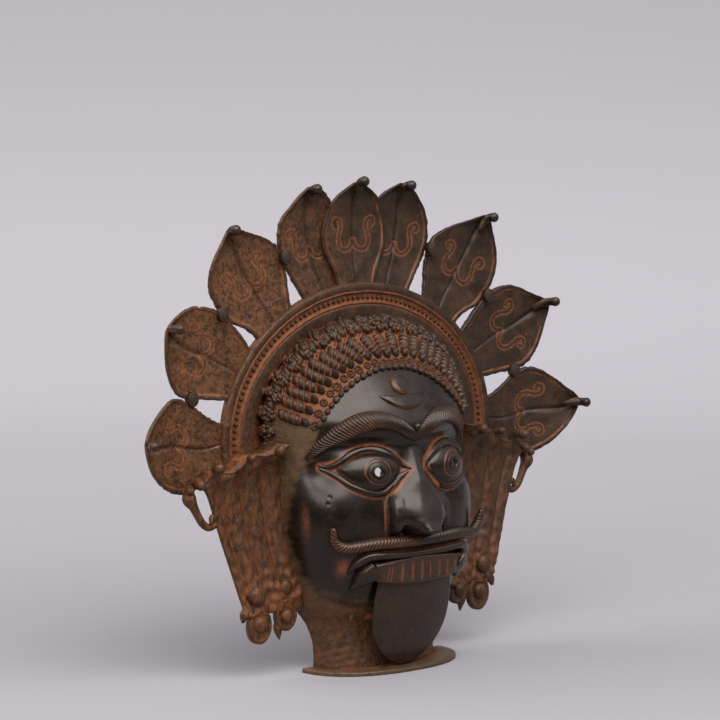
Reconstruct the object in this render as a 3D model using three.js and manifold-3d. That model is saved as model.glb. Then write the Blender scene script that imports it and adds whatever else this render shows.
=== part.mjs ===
// A bronze spirit mask on its own foot flange, with a cobra-hood crown, and its hanging tongue plate.
// Millimetres, +Z up, the face looks along -Y. Everything is laid out from the plane of the arch (y = 0)
// and moved at the end so that the origin is the middle of the underside.
import * as THREE from "three";
import Module from "manifold-3d";

const WALL = 4; // thickness of the cast wall
const PLATE = 4; // thickness of hoods and side panels
const CLEAR = 0.3; // gap between the tongue and the casting
const MASK_TRIANGLES = 9140; // triangles left on the casting once needless edges are closed up

// Face and neck: height, half width at the back, depth in front of the arch plane, section exponent and
// back edge
const STATIONS = [
  [0, 73, 56, 2.3, -14],
  [25, 74, 54, 2.3, -14],
  [44, 79, 57, 2.3, -12],
  [58, 86, 67, 2.3, -8],
  [72, 91, 73, 2.3, -4],
  [92, 97, 78, 2.4, 0],
  [115, 103, 81, 2.6, 0],
  [145, 107, 80, 2.7, 0],
  [165, 108, 78, 2.6, 0],
  [190, 109, 75, 2.1, 0],
  [210, 113, 76, 1.88, 0],
  [230, 116, 79, 1.72, 0],
  [250, 116, 69, 1.68, 0],
  [270, 108, 55, 1.72, 0],
  [281, 101, 47, 1.8, 0],
  [300, 82, 33, 1.95, 0],
  [315, 54, 18, 2.1, 0],
  [325, 18, 6, 2.1, 0],
];
const OUTER_LEVELS = [0, 28, 44, 58, 72, 92, 118, 148, 172, 192, 210, 230, 250, 268, 284, 300, 314, 325];
const INNER_LEVELS = [-8, 30, 50, 66, 90, 140, 190, 232, 262, 288, 306, 319];
const OUTER_COLUMNS = 22;
const INNER_COLUMNS = 11;

const FOOT = { halfWidth: 86.3, front: 78.5, back: 17.5, exponent: 2.3, height: 4 };

// Arch over the face: ellipse of its bead line, and its section as (offset outwards, y)
const ARCH = { rx: 151.3, rz: 128, z: 218.6, drop: 26, steps: 26 };
const ARCH_SECTION = [
  [13.5, 7],
  [13.5, -0.6],
  [5.4, -1.4],
  [4, 0.9],
  [-4, 0.9],
  [-5.4, -1.4],
  [-22, -0.8],
  [-22, 1.6],
  [-42, 1.6],
  [-42, 7],
];

// Hoods, from the root to the tip: one edge (x, z, y), the other edge (x, z, y)
const HOOD_LOW = [
  [152, 210, 3, 152, 234, 3],
  [183, 186, 3, 182, 247, 3],
  [203, 177.5, 2, 199, 259, 2],
  [218, 178.5, 0, 218, 266, 0],
  [232, 184, -5, 232, 261.5, -5],
  [244, 192, -9.5, 245, 253, -10],
  [254, 202, -14, 256, 244, -15],
  [262, 215, -19.5, 263.5, 237, -20.5],
  [266, 227, -23.5, 266.5, 232, -23.5],
];
const HOOD_MIDDLE = [
  [140, 257, 3, 122, 296, 3],
  [182, 262, 3, 149, 327, 3],
  [199, 264, 3, 164, 340, 3],
  [214, 268, 1, 181, 347, 3],
  [224, 280, -1.5, 197, 348, 2],
  [230, 294, -4, 210, 343.5, 0],
  [233, 309, -7, 221, 338.5, -4],
  [234.5, 320, -10, 229, 334.5, -9],
  [234.5, 329, -12.8, 233, 332, -12.8],
];
const HOOD_HIGH = [
  [113, 306, 3, 78, 324, 3],
  [137, 325, 4, 84, 358, 5],
  [151, 330, 4, 85, 371, 6],
  [165, 343, 4, 90, 389, 6],
  [174, 356, 4, 97, 399, 6],
  [177, 370, 3, 107, 405, 5],
  [174, 386, 1, 121, 410, 3],
  [167, 402, -2, 141, 415, -1],
  [161, 415, -5, 155, 419, -5],
];
const HOOD_SIDE = [
  [9, 338, 6.5, 56, 334, 5],
  [12, 370, 10.5, 74, 363, 8],
  [14, 388, 12.3, 85, 380, 9],
  [16, 402, 13, 91, 396, 9],
  [20, 418, 12.3, 92, 410, 9],
  [26, 434, 11, 88, 424, 8],
  [37, 445, 6, 79, 435, 5],
  [46, 450, 3, 70, 445, 3],
  [53.5, 453, 2, 61, 451.5, 2],
];
const HOOD_CENTRE = [
  [-20, 342, 4.5, 20, 342, 4.5],
  [-28, 373, 7.5, 28, 373, 7.5],
  [-36, 389, 9, 36, 389, 9],
  [-39.5, 406, 9.8, 39.5, 406, 9.8],
  [-36, 423, 9.5, 36, 423, 9.5],
  [-28, 437, 7, 28, 437, 7],
  [-19, 446, 4.5, 19, 446, 4.5],
  [-9, 452, 3, 9, 452, 3],
  [-4, 455, 2, 4, 455, 2],
];
const HOOD_DISH = 2.2; // how far the middle of a hood lies behind its edges
// Cobra heads: points (x, y, z, radius) from the hood to the blunt end
const HEADS = {
  low: [[253, -15, 228, 1.8], [261, -22, 229.4, 4.2], [265, -28, 229.6, 4], [266.4, -33, 229.4, 4.7]],
  middle: [[223, -2, 324, 2.2], [229, -10.5, 329.5, 4.2], [231.3, -18, 331, 4], [231, -24.5, 331.4, 4.7]],
  high: [[151, 0, 405, 1.8], [157.3, -4.5, 415, 4.2], [158.6, -8.5, 416.8, 4], [158.6, -13, 416.8, 4.8]],
  side: [[56.5, 6, 439, 1.8], [57, 2, 448.5, 4.4], [57.8, -2.5, 450.6, 4.2], [58, -6.5, 450.6, 5]],
  centre: [[0, 6, 442, 1.8], [0, 2.5, 451.5, 4.6], [0, -1, 455.3, 4.4], [0, -5.5, 456.1, 5.1]],
};
// Round bosses where hoods meet: x, z
const JOINT_BOSSES = [[90.1, 388.3], [163.7, 339.4], [199, 263.8]];
const JOINT_BOSS = { across: 6.5, up: 7.5, front: -4, back: 8 };

// Hair: hairline, ends of the curl rolls and garland, as (distance along the face from the middle, height)
const HAIRLINE = [
  [0, 283.5], [15.4, 283], [31.8, 278.5], [48.9, 271.7], [64, 263], [77.7, 252.8], [87.8, 242.4],
  [97, 232.5],
];
const HAIRLINE_HALF = 4.6;
const HAIRLINE_RISE = 2.6;
const ROLL_INNER = [
  [0, 295.5], [10.8, 295.8], [22.6, 294.7], [33.1, 292.3], [44.5, 288.4], [54, 284.9], [63.2, 280.2],
  [72.9, 273.3], [82.2, 266.8], [91.7, 258.6], [100, 249.1], [107, 238],
];
const ROLL_OUTER = [
  [0, 312], [17, 311.8], [35, 309.6], [48, 306.2], [60.8, 301.3], [71, 297], [83.8, 291.8], [93.5, 284.8],
  [104.8, 276], [113.8, 267.3], [122.9, 258.6], [130, 246],
];
// Stud and first segment of a roll: distance from its inner end, half width, rise
const ROLL_PROFILE = [[-4.5, 2.4, 2.5], [-1, 4.8, 6.5], [3.5, 3.4, 3.6], [8, 4.8, 5.2]];
const GARLAND_BUTTON = { rs: 8.5, rz: 7, rise: 6.5 };
const GARLAND = [
  [8, 320.5], [27, 318.5], [45.6, 315.3], [64.6, 308.9], [82.5, 300], [99.7, 289.4], [115.6, 275.4],
  [129, 261.5], [141, 245], [146, 229], [146, 213],
];

// Features of the face, as (distance along the face from the middle, height, half width, rise)
const BROW = [
  [-1, 221.5, 5, 3.5], [7.5, 225.4, 5.8, 4.5], [17.5, 231.8, 6.8, 5.4], [29.7, 236.9, 7.4, 6],
  [42.6, 238.4, 7.8, 6.2], [56.1, 236.4, 8.2, 6.2], [69.7, 231.5, 8, 6], [83, 224.4, 7.2, 5.4],
  [95.7, 214.8, 5.6, 4], [107.5, 204, 2, 1.5],
];
const LID_UPPER = [
  [8, 192.5, 1.2, 1.6], [13.5, 195.5, 2.5, 3.3], [22.5, 202.4, 3.8, 5], [31.7, 207.8, 4.2, 6.4],
  [43.9, 211.2, 3.9, 7.4], [54.5, 211, 3.6, 7.2], [65.3, 207.9, 3.5, 6], [74.9, 201.7, 3.2, 4.6],
  [84.8, 197.3, 2.8, 3.2], [95.4, 197.2, 1.5, 1.2],
];
const LID_LOWER = [
  [11, 190.5, 1.2, 1.6], [18.7, 185, 3, 3.6], [27.6, 176.8, 3.5, 5], [38.1, 171.5, 3.2, 6],
  [50.2, 171.5, 3, 6.2], [60.8, 174.9, 3.1, 5.5], [69.8, 179.6, 3.1, 4.5], [77.3, 186.4, 3, 3.6],
  [87, 192.3, 2.5, 2.4], [95.8, 195.2, 1.2, 1],
];
const EYE = {
  outline: [
    [15, 192.5], [22.7, 200.4], [33.3, 206.6], [44.4, 208.8], [55.6, 208], [66.8, 203.7],
    [80.9, 195.3], [71.5, 184.4], [61.4, 177], [49.9, 173], [37.7, 173.3], [24.8, 180],
  ],
  centre: [44.5, 191.5],
  rise: 9.5,
};
// Pupil hole: along, height, then (out from the face, radius) from the front to the back
const PUPIL = { s: 44, z: 190.9, bore: [[20, 3.75], [4, 3.75], [-10, 9]] };
const DISC = { z: 268, rs: 10.6, rz: 8.4, rise: 2.6 };
const CRESCENT = [
  [-27.5, 259.2, 0.5, 0.8], [-20.5, 256.4, 3, 2.4], [-11, 253.6, 5.6, 2.8], [0, 252.6, 6.6, 3],
  [11, 253.6, 5.6, 2.8], [20.5, 256.4, 3, 2.4], [27.5, 259.2, 0.5, 0.8],
];
const BROW_BOSS = { z: 230.5, r: 3.8, rise: 4 };
// Nose: height, half width, and how far it stands off the face at the places across its half width
const NOSE = [
  [214, 10, 0, 0, 0, 0, 0, 0],
  [209, 11, 2, 1.8, 1.4, 0.9, 0.4, 0.1],
  [203, 13, 4.6, 4.2, 3.2, 2.1, 1, 0.3],
  [194, 17.5, 9, 8.3, 6.4, 4.2, 1.9, 0.7],
  [182, 23.5, 14.5, 13.5, 10.8, 7.4, 3.4, 1.2],
  [176, 27.5, 15.8, 14.8, 12.2, 8.8, 4.8, 1.9],
  [170, 31.5, 17, 16, 13.4, 9.8, 7.4, 3.9],
  [165, 34.5, 18.4, 17.6, 15, 12.2, 10.4, 6.5],
  [160, 36, 20.3, 19.5, 17.1, 14.4, 12.5, 8.9],
  [149, 36.5, 23.3, 22.5, 19.9, 16.4, 14, 10.7],
  [143, 36, 25, 24.2, 19.8, 13.6, 13.4, 10.3],
  [138, 35.2, 27.4, 25.4, 14, 6, 11.6, 8.8],
  [134.5, 34.5, 27.8, 23.8, 4, 1, 6.6, 4.8],
  [132.5, 34, 23.8, 15.8, 1, 0, 2, 1.4],
  [131, 33.5, 10, 5, 0, 0, 0, 0],
];
const NOSE_ACROSS = [0, 0.25, 0.45, 0.6, 0.8, 0.93];
const NOSE_ROOT = 1.5; // how far its edges sink into the face
const NOSE_BACK = -66;
// Moustache: along, height, out from the face, radius
const MOUSTACHE = [
  [-2, 124, 2, 6], [12, 124.3, 2, 6.1], [32, 125, 2.4, 6.2], [52, 125.2, 2.6, 6], [66, 124, 3.2, 5.8],
  [77, 123.7, 4.5, 5.6], [84.5, 127.4, 6.5, 5.2], [87.8, 133, 8, 4.6], [88, 138, 9.2, 4], [87.8, 142, 10, 3],
];
const LIP = [
  [-2, 113.4, 3.6, 8.6], [14, 113.7, 3.6, 8.6], [33, 114.4, 3.6, 8.4], [46, 115.2, 3.6, 8],
  [56, 114.8, 3.9, 7.4], [63, 111.6, 4.2, 6.6], [68.5, 106.8, 3.6, 5.4], [71, 101.8, 2.2, 3],
  [72, 98, 1, 1],
];
// Teeth band: its top edge is lower at the ends than in the middle, its bottom edge higher
const TEETH = { reach: 50, top: 110.8, bottom: 87.3, topFall: 2.2, bottomClimb: 6.5, rise: 10.5 };
// Fang: along, height, half width, rise
const FANG = [
  [49, 104, 9.5, 11.2], [56.5, 98, 9.2, 10.8], [61.5, 91.5, 5.8, 8.6], [65.2, 86, 3, 5.6], [67.9, 80.6, 0.8, 2],
];

// Side panels: rows from the top edge down, each with its height at the face and at the outer edge,
// inner and outer x, inner and outer y
const PANEL_ROWS = [
  [219, 187, 115, 199, -36, -12],
  [214, 185.5, 113, 197.5, -31, -10.5],
  [206, 182, 111, 195, -23, -9.5],
  [194, 176, 108, 191, -16, -9],
  [165, 158, 106, 184, -13, -9],
  [138, 135, 104, 176.5, -14, -10],
  [104, 104, 97, 166.5, -18, -13],
  [74, 74, 88, 156.5, -22, -15.5],
  [62, 60, 92, 151, -20, -16],
];
const PANEL_COLUMNS = 7;
const FLUTE = 4.6; // depth of the flutes
// How far the flutes, the lip and the wedge behind the lip have come in at the first rows
const FLUTE_START = [0, 0.4, 0.9];
const LIP_FADE = [1, 0.6];
const WEDGE = [1, 1, 0.35];
// Rise of the wavy lip at the columns across the panel
const PANEL_LIP = [0, -1.9, 0.4, 4.4, -0.5, 0, 4.3, 0];
const PANEL_CURLS = [
  [[118, -26, 210, 4.4], [123, -31, 213.5, 4.8], [125.5, -36, 214.5, 5.2]],
  [[152, -24, 208, 3.4], [154, -28, 209.5, 3.8], [154.6, -31, 209.6, 3.6]],
  [[183, -12, 195, 4], [184.5, -16.5, 202, 4], [187, -21.5, 204, 4.8], [189, -26.5, 202.5, 5]],
  [[199, -8, 190, 4.4], [201, -12, 187.5, 5.2], [201.5, -15, 186.5, 4.6]],
  [[208, -6, 183, 4], [210.5, -9, 182.3, 4.4], [211, -12, 182.2, 3.8]],
];
const HOOK = [
  [207, -4, 181, 4.5], [209, -7, 174.5, 6.6], [204.5, -7.5, 166.5, 4.4], [200, -8, 158, 3.7],
  [195, -8.5, 150.5, 3.6], [188, -8.5, 146.5, 3.6], [181.5, -9, 149.5, 3.6], [182, -10, 155, 3.2],
  [186.5, -11, 155.5, 2.8], [187.5, -12, 152, 2.4],
];
// Pendants under the panels: x, z, radius across, radius up, y of the front
const PENDANTS = [[136, 50, 13.5, 17, -18], [107, 58, 12.5, 15.5, -20.5]];
const PENDANT_DOMES = [
  [136, 52, 8, 5.5, -18], [107.5, 57, 7, 5.5, -20.5], [140.5, 79, 9.5, 7, -18],
  [108, 84, 7.5, 5.5, -20],
];
const LEAVES = [
  [[112, -17, 53, 4], [114, -16, 46, 4.6], [113.5, -16, 41, 3.2], [112.5, -16, 35, 0.8]],
  [[147, -15, 66, 5], [153, -15.5, 61.5, 4.6], [155, -16, 56.5, 2]],
];
const PANEL_HOLE = { x: 108.3, z: 67.8, radius: 2.1 };

// Tongue: height, half width, y of its front face
const TONGUE_ROWS = [
  [97, 39.6, -84.6],
  [90, 43.2, -84.6],
  [74, 46.2, -83.4],
  [57, 46.4, -80.6],
  [42, 44.4, -77],
  [30, 39.4, -73.2],
  [20, 32, -69.8],
  [12, 22, -66.8],
  [FOOT.height + CLEAR + 0.4, 8, -64.4],
];
const TONGUE = { columns: 8, thickness: 3, bow: 6.4 };

const wasm = await Module();
wasm.setup();

// A closed body from shared points and triangles, turned to face outwards.
function body(points, triangles) {
  const verts = new Float32Array(points.flat());
  const make = (tris) => {
    const triVerts = new Uint32Array(tris.flat());
    return new wasm.Manifold(new wasm.Mesh({ numProp: 3, vertProperties: verts, triVerts }));
  };
  const made = make(triangles);
  return made.volume() < 0 ? make(triangles.map(([a, b, c]) => [a, c, b])) : made;
}

// Closed rings of points joined in order, with a fan over each end.
function loft(rings) {
  const n = rings[0].length;
  const points = rings.flat();
  const triangles = [];
  for (let i = 0; i + 1 < rings.length; i++)
    for (let j = 0; j < n; j++) {
      const k = (j + 1) % n;
      triangles.push([i * n + j, i * n + k, (i + 1) * n + k], [i * n + j, (i + 1) * n + k, (i + 1) * n + j]);
    }
  const last = (rings.length - 1) * n;
  for (let j = 1; j + 1 < n; j++) {
    triangles.push([0, j + 1, j]);
    triangles.push([last, last + j, last + j + 1]);
  }
  return body(points, triangles);
}

// A front and a back sheet of points joined round their edges.
function slab(front, back) {
  const m = front.length;
  const n = front[0].length;
  const points = [...front.flat(), ...back.flat()];
  const f = (i, j) => i * n + j;
  const b = (i, j) => m * n + i * n + j;
  const triangles = [];
  for (let i = 0; i + 1 < m; i++)
    for (let j = 0; j + 1 < n; j++) {
      triangles.push([f(i, j), f(i, j + 1), f(i + 1, j + 1)], [f(i, j), f(i + 1, j + 1), f(i + 1, j)]);
      triangles.push([b(i, j), b(i + 1, j + 1), b(i, j + 1)], [b(i, j), b(i + 1, j), b(i + 1, j + 1)]);
    }
  const right = n - 1;
  const foot = m - 1;
  for (let i = 0; i + 1 < m; i++) {
    triangles.push([f(i, 0), f(i + 1, 0), b(i + 1, 0)], [f(i, 0), b(i + 1, 0), b(i, 0)]);
    triangles.push([f(i, right), b(i + 1, right), f(i + 1, right)]);
    triangles.push([f(i, right), b(i, right), b(i + 1, right)]);
  }
  for (let j = 0; j + 1 < n; j++) {
    triangles.push([f(0, j), b(0, j + 1), f(0, j + 1)], [f(0, j), b(0, j), b(0, j + 1)]);
    triangles.push([f(foot, j), f(foot, j + 1), b(foot, j + 1)], [f(foot, j), b(foot, j + 1), b(foot, j)]);
  }
  return body(points, triangles);
}

// The same solid with fewer triangles: the edges whose closing moves the surface least are closed first.
function lighten(solid, most) {
  const mesh = solid.getMesh();
  const count = mesh.vertProperties.length / 3;
  const pointOf = (i) => new THREE.Vector3().fromArray(mesh.vertProperties, 3 * i);
  const at = Array.from({ length: count }, (_, i) => pointOf(i));
  const faces = [];
  const around = at.map(() => new Set());
  for (let i = 0; i < mesh.triVerts.length; i += 3) {
    const face = [mesh.triVerts[i], mesh.triVerts[i + 1], mesh.triVerts[i + 2]];
    face.forEach((v) => around[v].add(faces.length));
    faces.push(face);
  }
  const crossOf = (a, b, c) => b.clone().sub(a).cross(c.clone().sub(a));
  const sums = at.map(() => new Float64Array(10));
  for (const face of faces) {
    const n = crossOf(...face.map((v) => at[v]));
    const area = n.length();
    if (area < 1e-9) continue;
    n.divideScalar(area);
    const d = -n.dot(at[face[0]]);
    const [x, y, z] = n.toArray();
    const terms = [x * x, x * y, x * z, x * d, y * y, y * z, y * d, z * z, z * d, d * d];
    for (const v of face) terms.forEach((term, k) => (sums[v][k] += term * area));
  }
  const error = (q, { x, y, z }) =>
    q[0] * x * x + 2 * q[1] * x * y + 2 * q[2] * x * z + 2 * q[3] * x + q[4] * y * y + 2 * q[5] * y * z +
    2 * q[6] * y + q[7] * z * z + 2 * q[8] * z + q[9];
  const bestOf = (a, b) => {
    const q = sums[a].map((v, k) => v + sums[b][k]);
    const spots = [at[a], at[b], at[a].clone().lerp(at[b], 0.5)];
    const costs = spots.map((spot) => Math.max(error(q, spot), 0) + 1e-4 * at[a].distanceToSquared(at[b]));
    const k = costs.indexOf(Math.min(...costs));
    return { cost: costs[k], spot: spots[k], q };
  };
  const nextTo = (v) => {
    const found = new Set();
    for (const f of around[v]) for (const w of faces[f]) if (w !== v) found.add(w);
    return found;
  };
  const turns = (v, other, spot) => {
    for (const f of around[v]) {
      if (faces[f].includes(other)) continue;
      const before = crossOf(...faces[f].map((w) => at[w]));
      const after = crossOf(...faces[f].map((w) => (w === v ? spot : at[w])));
      const lengths = before.length() * after.length();
      const turned = before.length() > 1e-3 && before.dot(after) < 0.5 * lengths;
      if (after.length() < 1e-3 || turned) return true;
    }
    return false;
  };
  let left = faces.length;
  for (let pass = 0; pass < 40 && left > most; pass++) {
    const edges = [];
    faces.forEach((face) => {
      if (face) face.forEach((a, k) => a < face[(k + 1) % 3] && edges.push([a, face[(k + 1) % 3]]));
    });
    const ranked = edges.map(([a, b]) => ({ a, b, ...bestOf(a, b) })).sort((u, v) => u.cost - v.cost);
    const touched = new Set();
    for (const { a, b, spot, q } of ranked.slice(0, Math.ceil(ranked.length / 8))) {
      if (left <= most) break;
      if (touched.has(a) || touched.has(b)) continue;
      const [na, nb] = [nextTo(a), nextTo(b)];
      const shared = [...na].filter((v) => nb.has(v));
      if (shared.length !== 2 || turns(a, b, spot) || turns(b, a, spot)) continue;
      for (const f of [...around[b]]) {
        if (faces[f].includes(a)) {
          faces[f].forEach((v) => around[v].delete(f));
          faces[f] = null;
          left--;
        } else {
          faces[f] = faces[f].map((v) => (v === b ? a : v));
          around[a].add(f);
        }
      }
      around[b].clear();
      at[a] = spot.clone();
      sums[a] = q;
      for (const v of [a, b, ...na, ...nb]) touched.add(v);
    }
  }
  const kept = faces.filter(Boolean);
  const order = new Map();
  for (const v of kept.flat()) if (!order.has(v)) order.set(v, order.size);
  const points = [...order.keys()].map((v) => at[v].toArray());
  return body(points, kept.map((face) => face.map((v) => order.get(v))));
}

// Smooth value of one column of the stations at a height.
function along(z, column) {
  const last = STATIONS.length - 1;
  const t = Math.min(Math.max(z, STATIONS[0][0]), STATIONS[last][0]);
  let i = 0;
  while (i < last - 1 && STATIONS[i + 1][0] < t) i++;
  const slope = (k) => {
    const a = STATIONS[Math.max(k - 1, 0)];
    const b = STATIONS[Math.min(k + 1, last)];
    return (b[column] - a[column]) / (b[0] - a[0]);
  };
  const [p, q] = [STATIONS[i], STATIONS[i + 1]];
  const h = q[0] - p[0];
  const u = (t - p[0]) / h;
  return (
    (2 * u ** 3 - 3 * u ** 2 + 1) * p[column] +
    (u ** 3 - 2 * u ** 2 + u) * h * slope(i) +
    (-2 * u ** 3 + 3 * u ** 2) * q[column] +
    (u ** 3 - u ** 2) * h * slope(i + 1)
  );
}

// One point of the level section, at -90 to 90 degrees from the left edge over the front to the right edge.
function rim(z, angle, inset = 0) {
  const w = Math.max(along(z, 1) - inset, 1);
  const back = along(z, 4);
  const d = Math.max(along(z, 2) + back - inset, 1);
  const e = 2 / along(z, 3);
  const s = Math.sin(angle);
  return [w * Math.sign(s) * Math.abs(s) ** e, back - d * Math.abs(Math.cos(angle)) ** e, z];
}

// The same section by distance along the face from its middle.
const SAMPLES = 160;
function skinAt(s, z) {
  const sign = s < 0 ? -1 : 1;
  let left = Math.abs(s);
  let a = rim(z, 0);
  for (let i = 1; i <= SAMPLES; i++) {
    const b = rim(z, ((Math.PI / 2) * i) / SAMPLES);
    const step = Math.hypot(b[0] - a[0], b[1] - a[1]);
    if (step >= left || i === SAMPLES) {
      const f = step > 0 ? Math.min(left / step, 1) : 0;
      return new THREE.Vector3(sign * (a[0] + (b[0] - a[0]) * f), a[1] + (b[1] - a[1]) * f, z);
    }
    left -= step;
    a = b;
  }
  return null;
}

// A point on the face moved out along the face's normal.
function skin(s, z, out) {
  const p = skinAt(s, z);
  if (!out) return p.toArray();
  const across = skinAt(s + 2, z).sub(skinAt(s - 2, z));
  const up = skinAt(s, z + 2).sub(skinAt(s, z - 2));
  const normal = up.cross(across).normalize();
  if (normal.dot(new THREE.Vector3(p.x, p.y - 20, 0)) < 0) normal.negate();
  return p.addScaledVector(normal, out).toArray();
}

// A raised line on the face through (along, height, half width, rise).
function ridge(line, side) {
  const rings = line.map(([s, z, w, rise], i) => {
    const a = line[Math.max(i - 1, 0)];
    const b = line[Math.min(i + 1, line.length - 1)];
    const length = Math.hypot(b[0] - a[0], b[1] - a[1]);
    const [ns, nz] = [-(b[1] - a[1]) / length, (b[0] - a[0]) / length];
    const at = (across, out) => skin(side * (s + ns * across), z + nz * across, out);
    return [at(-w, -2), at(-w * 0.55, rise), at(w * 0.55, rise), at(w, -2)];
  });
  return loft(rings);
}

// A low round button on the face.
function button(s, z, rs, rz, rise, count = 8) {
  const ring = (k, out) =>
    Array.from({ length: count }, (_, i) => {
      const t = (2 * Math.PI * i) / count;
      return skin(s + k * rs * Math.cos(t), z + k * rz * Math.sin(t), out);
    });
  return loft([ring(1, -2), ring(0.9, rise * 0.6), ring(0.45, rise)]);
}

// A round bar through (x, y, z, radius).
function bar(path, count = 6) {
  const points = path.map(([x, y, z]) => new THREE.Vector3(x, y, z));
  let normal = null;
  const rings = points.map((p, i) => {
    const t = points[Math.min(i + 1, points.length - 1)].clone().sub(points[Math.max(i - 1, 0)]).normalize();
    if (!normal) normal = Math.abs(t.z) < 0.8 ? new THREE.Vector3(0, 0, 1) : new THREE.Vector3(0, 1, 0);
    normal = normal.clone().addScaledVector(t, -normal.dot(t)).normalize();
    const other = new THREE.Vector3().crossVectors(t, normal);
    return Array.from({ length: count }, (_, k) => {
      const a = (2 * Math.PI * k) / count;
      return p
        .clone()
        .addScaledVector(normal, path[i][3] * Math.cos(a))
        .addScaledVector(other, path[i][3] * Math.sin(a))
        .toArray();
    });
  });
  return loft(rings);
}

// A bar that follows the face: (along, height, out, radius).
function faceBar(line, side, count = 6) {
  return bar(line.map(([s, z, out, r]) => [...skin(side * s, z, out), r]), count);
}

// A round or oval plug along y: radius factors and y of its rings.
function plug(x, z, rx, rz, rings, count = 12) {
  return loft(
    rings.map(([k, y]) =>
      Array.from({ length: count }, (_, i) => {
        const t = (2 * Math.PI * i) / count;
        return [x + k * rx * Math.cos(t), y, z + k * rz * Math.sin(t)];
      }),
    ),
  );
}

function mirrored(points, side) {
  return points.map(([x, ...rest]) => [side * x, ...rest]);
}

const pieces = [];

// Face and neck wall
const outerRings = OUTER_LEVELS.map((z) => {
  const ring = Array.from({ length: OUTER_COLUMNS + 1 }, (_, i) => {
    const u = (2 * i) / OUTER_COLUMNS - 1;
    return rim(z, (Math.PI / 2) * u);
  });
  const behind = z > 85 ? 3 : 0;
  const first = ring[0];
  const last = ring[ring.length - 1];
  return [...ring.slice(1, -1), [last[0], last[1] + behind, z], [first[0], first[1] + behind, z]];
});
const innerRings = INNER_LEVELS.map((z) => {
  const ring = Array.from({ length: INNER_COLUMNS + 1 }, (_, i) =>
    rim(z, (Math.PI / 2) * ((2 * i) / INNER_COLUMNS - 1), WALL),
  );
  const first = ring[0];
  const last = ring[ring.length - 1];
  return [...ring, [last[0], 30, z], [first[0], 30, z]];
});
const hollow = loft(innerRings);
pieces.push(loft(outerRings));

// Foot flange
const footRing = (z) => {
  const ring = Array.from({ length: 15 }, (_, i) => {
    const t = (Math.PI / 2) * (i / 7 - 1);
    const e = 2 / FOOT.exponent;
    const s = Math.sin(t);
    return [
      FOOT.halfWidth * Math.sign(s) * Math.abs(s) ** e,
      -FOOT.back - (FOOT.front - FOOT.back) * Math.abs(Math.cos(t)) ** e,
      z,
    ];
  });
  const corner = [FOOT.halfWidth - 8, -FOOT.back + 4, z];
  return [...ring, corner, [-corner[0], corner[1], z]];
};
pieces.push(loft([footRing(0), footRing(FOOT.height)]));

// Nose, with its wings
const noseRing = ([z, half, ...lifts]) => {
  const point = (k, lift) => {
    const [, base] = skinAt(k * half, z).toArray();
    return [k * half, base - lift, z];
  };
  const right = NOSE_ACROSS.map((k, i) => point(k, lifts[i])).slice(1);
  const left = NOSE_ACROSS.map((k, i) => point(-k, lifts[i])).slice(1);
  const back = [-0.8, 0.8].map((k) => [k * half, NOSE_BACK, z]).reverse();
  const roots = [point(1, -NOSE_ROOT), ...back, point(-1, -NOSE_ROOT)];
  return [point(0, lifts[0]), ...right, ...roots, ...left.reverse()];
};
pieces.push(loft(NOSE.map(noseRing)));

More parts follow.
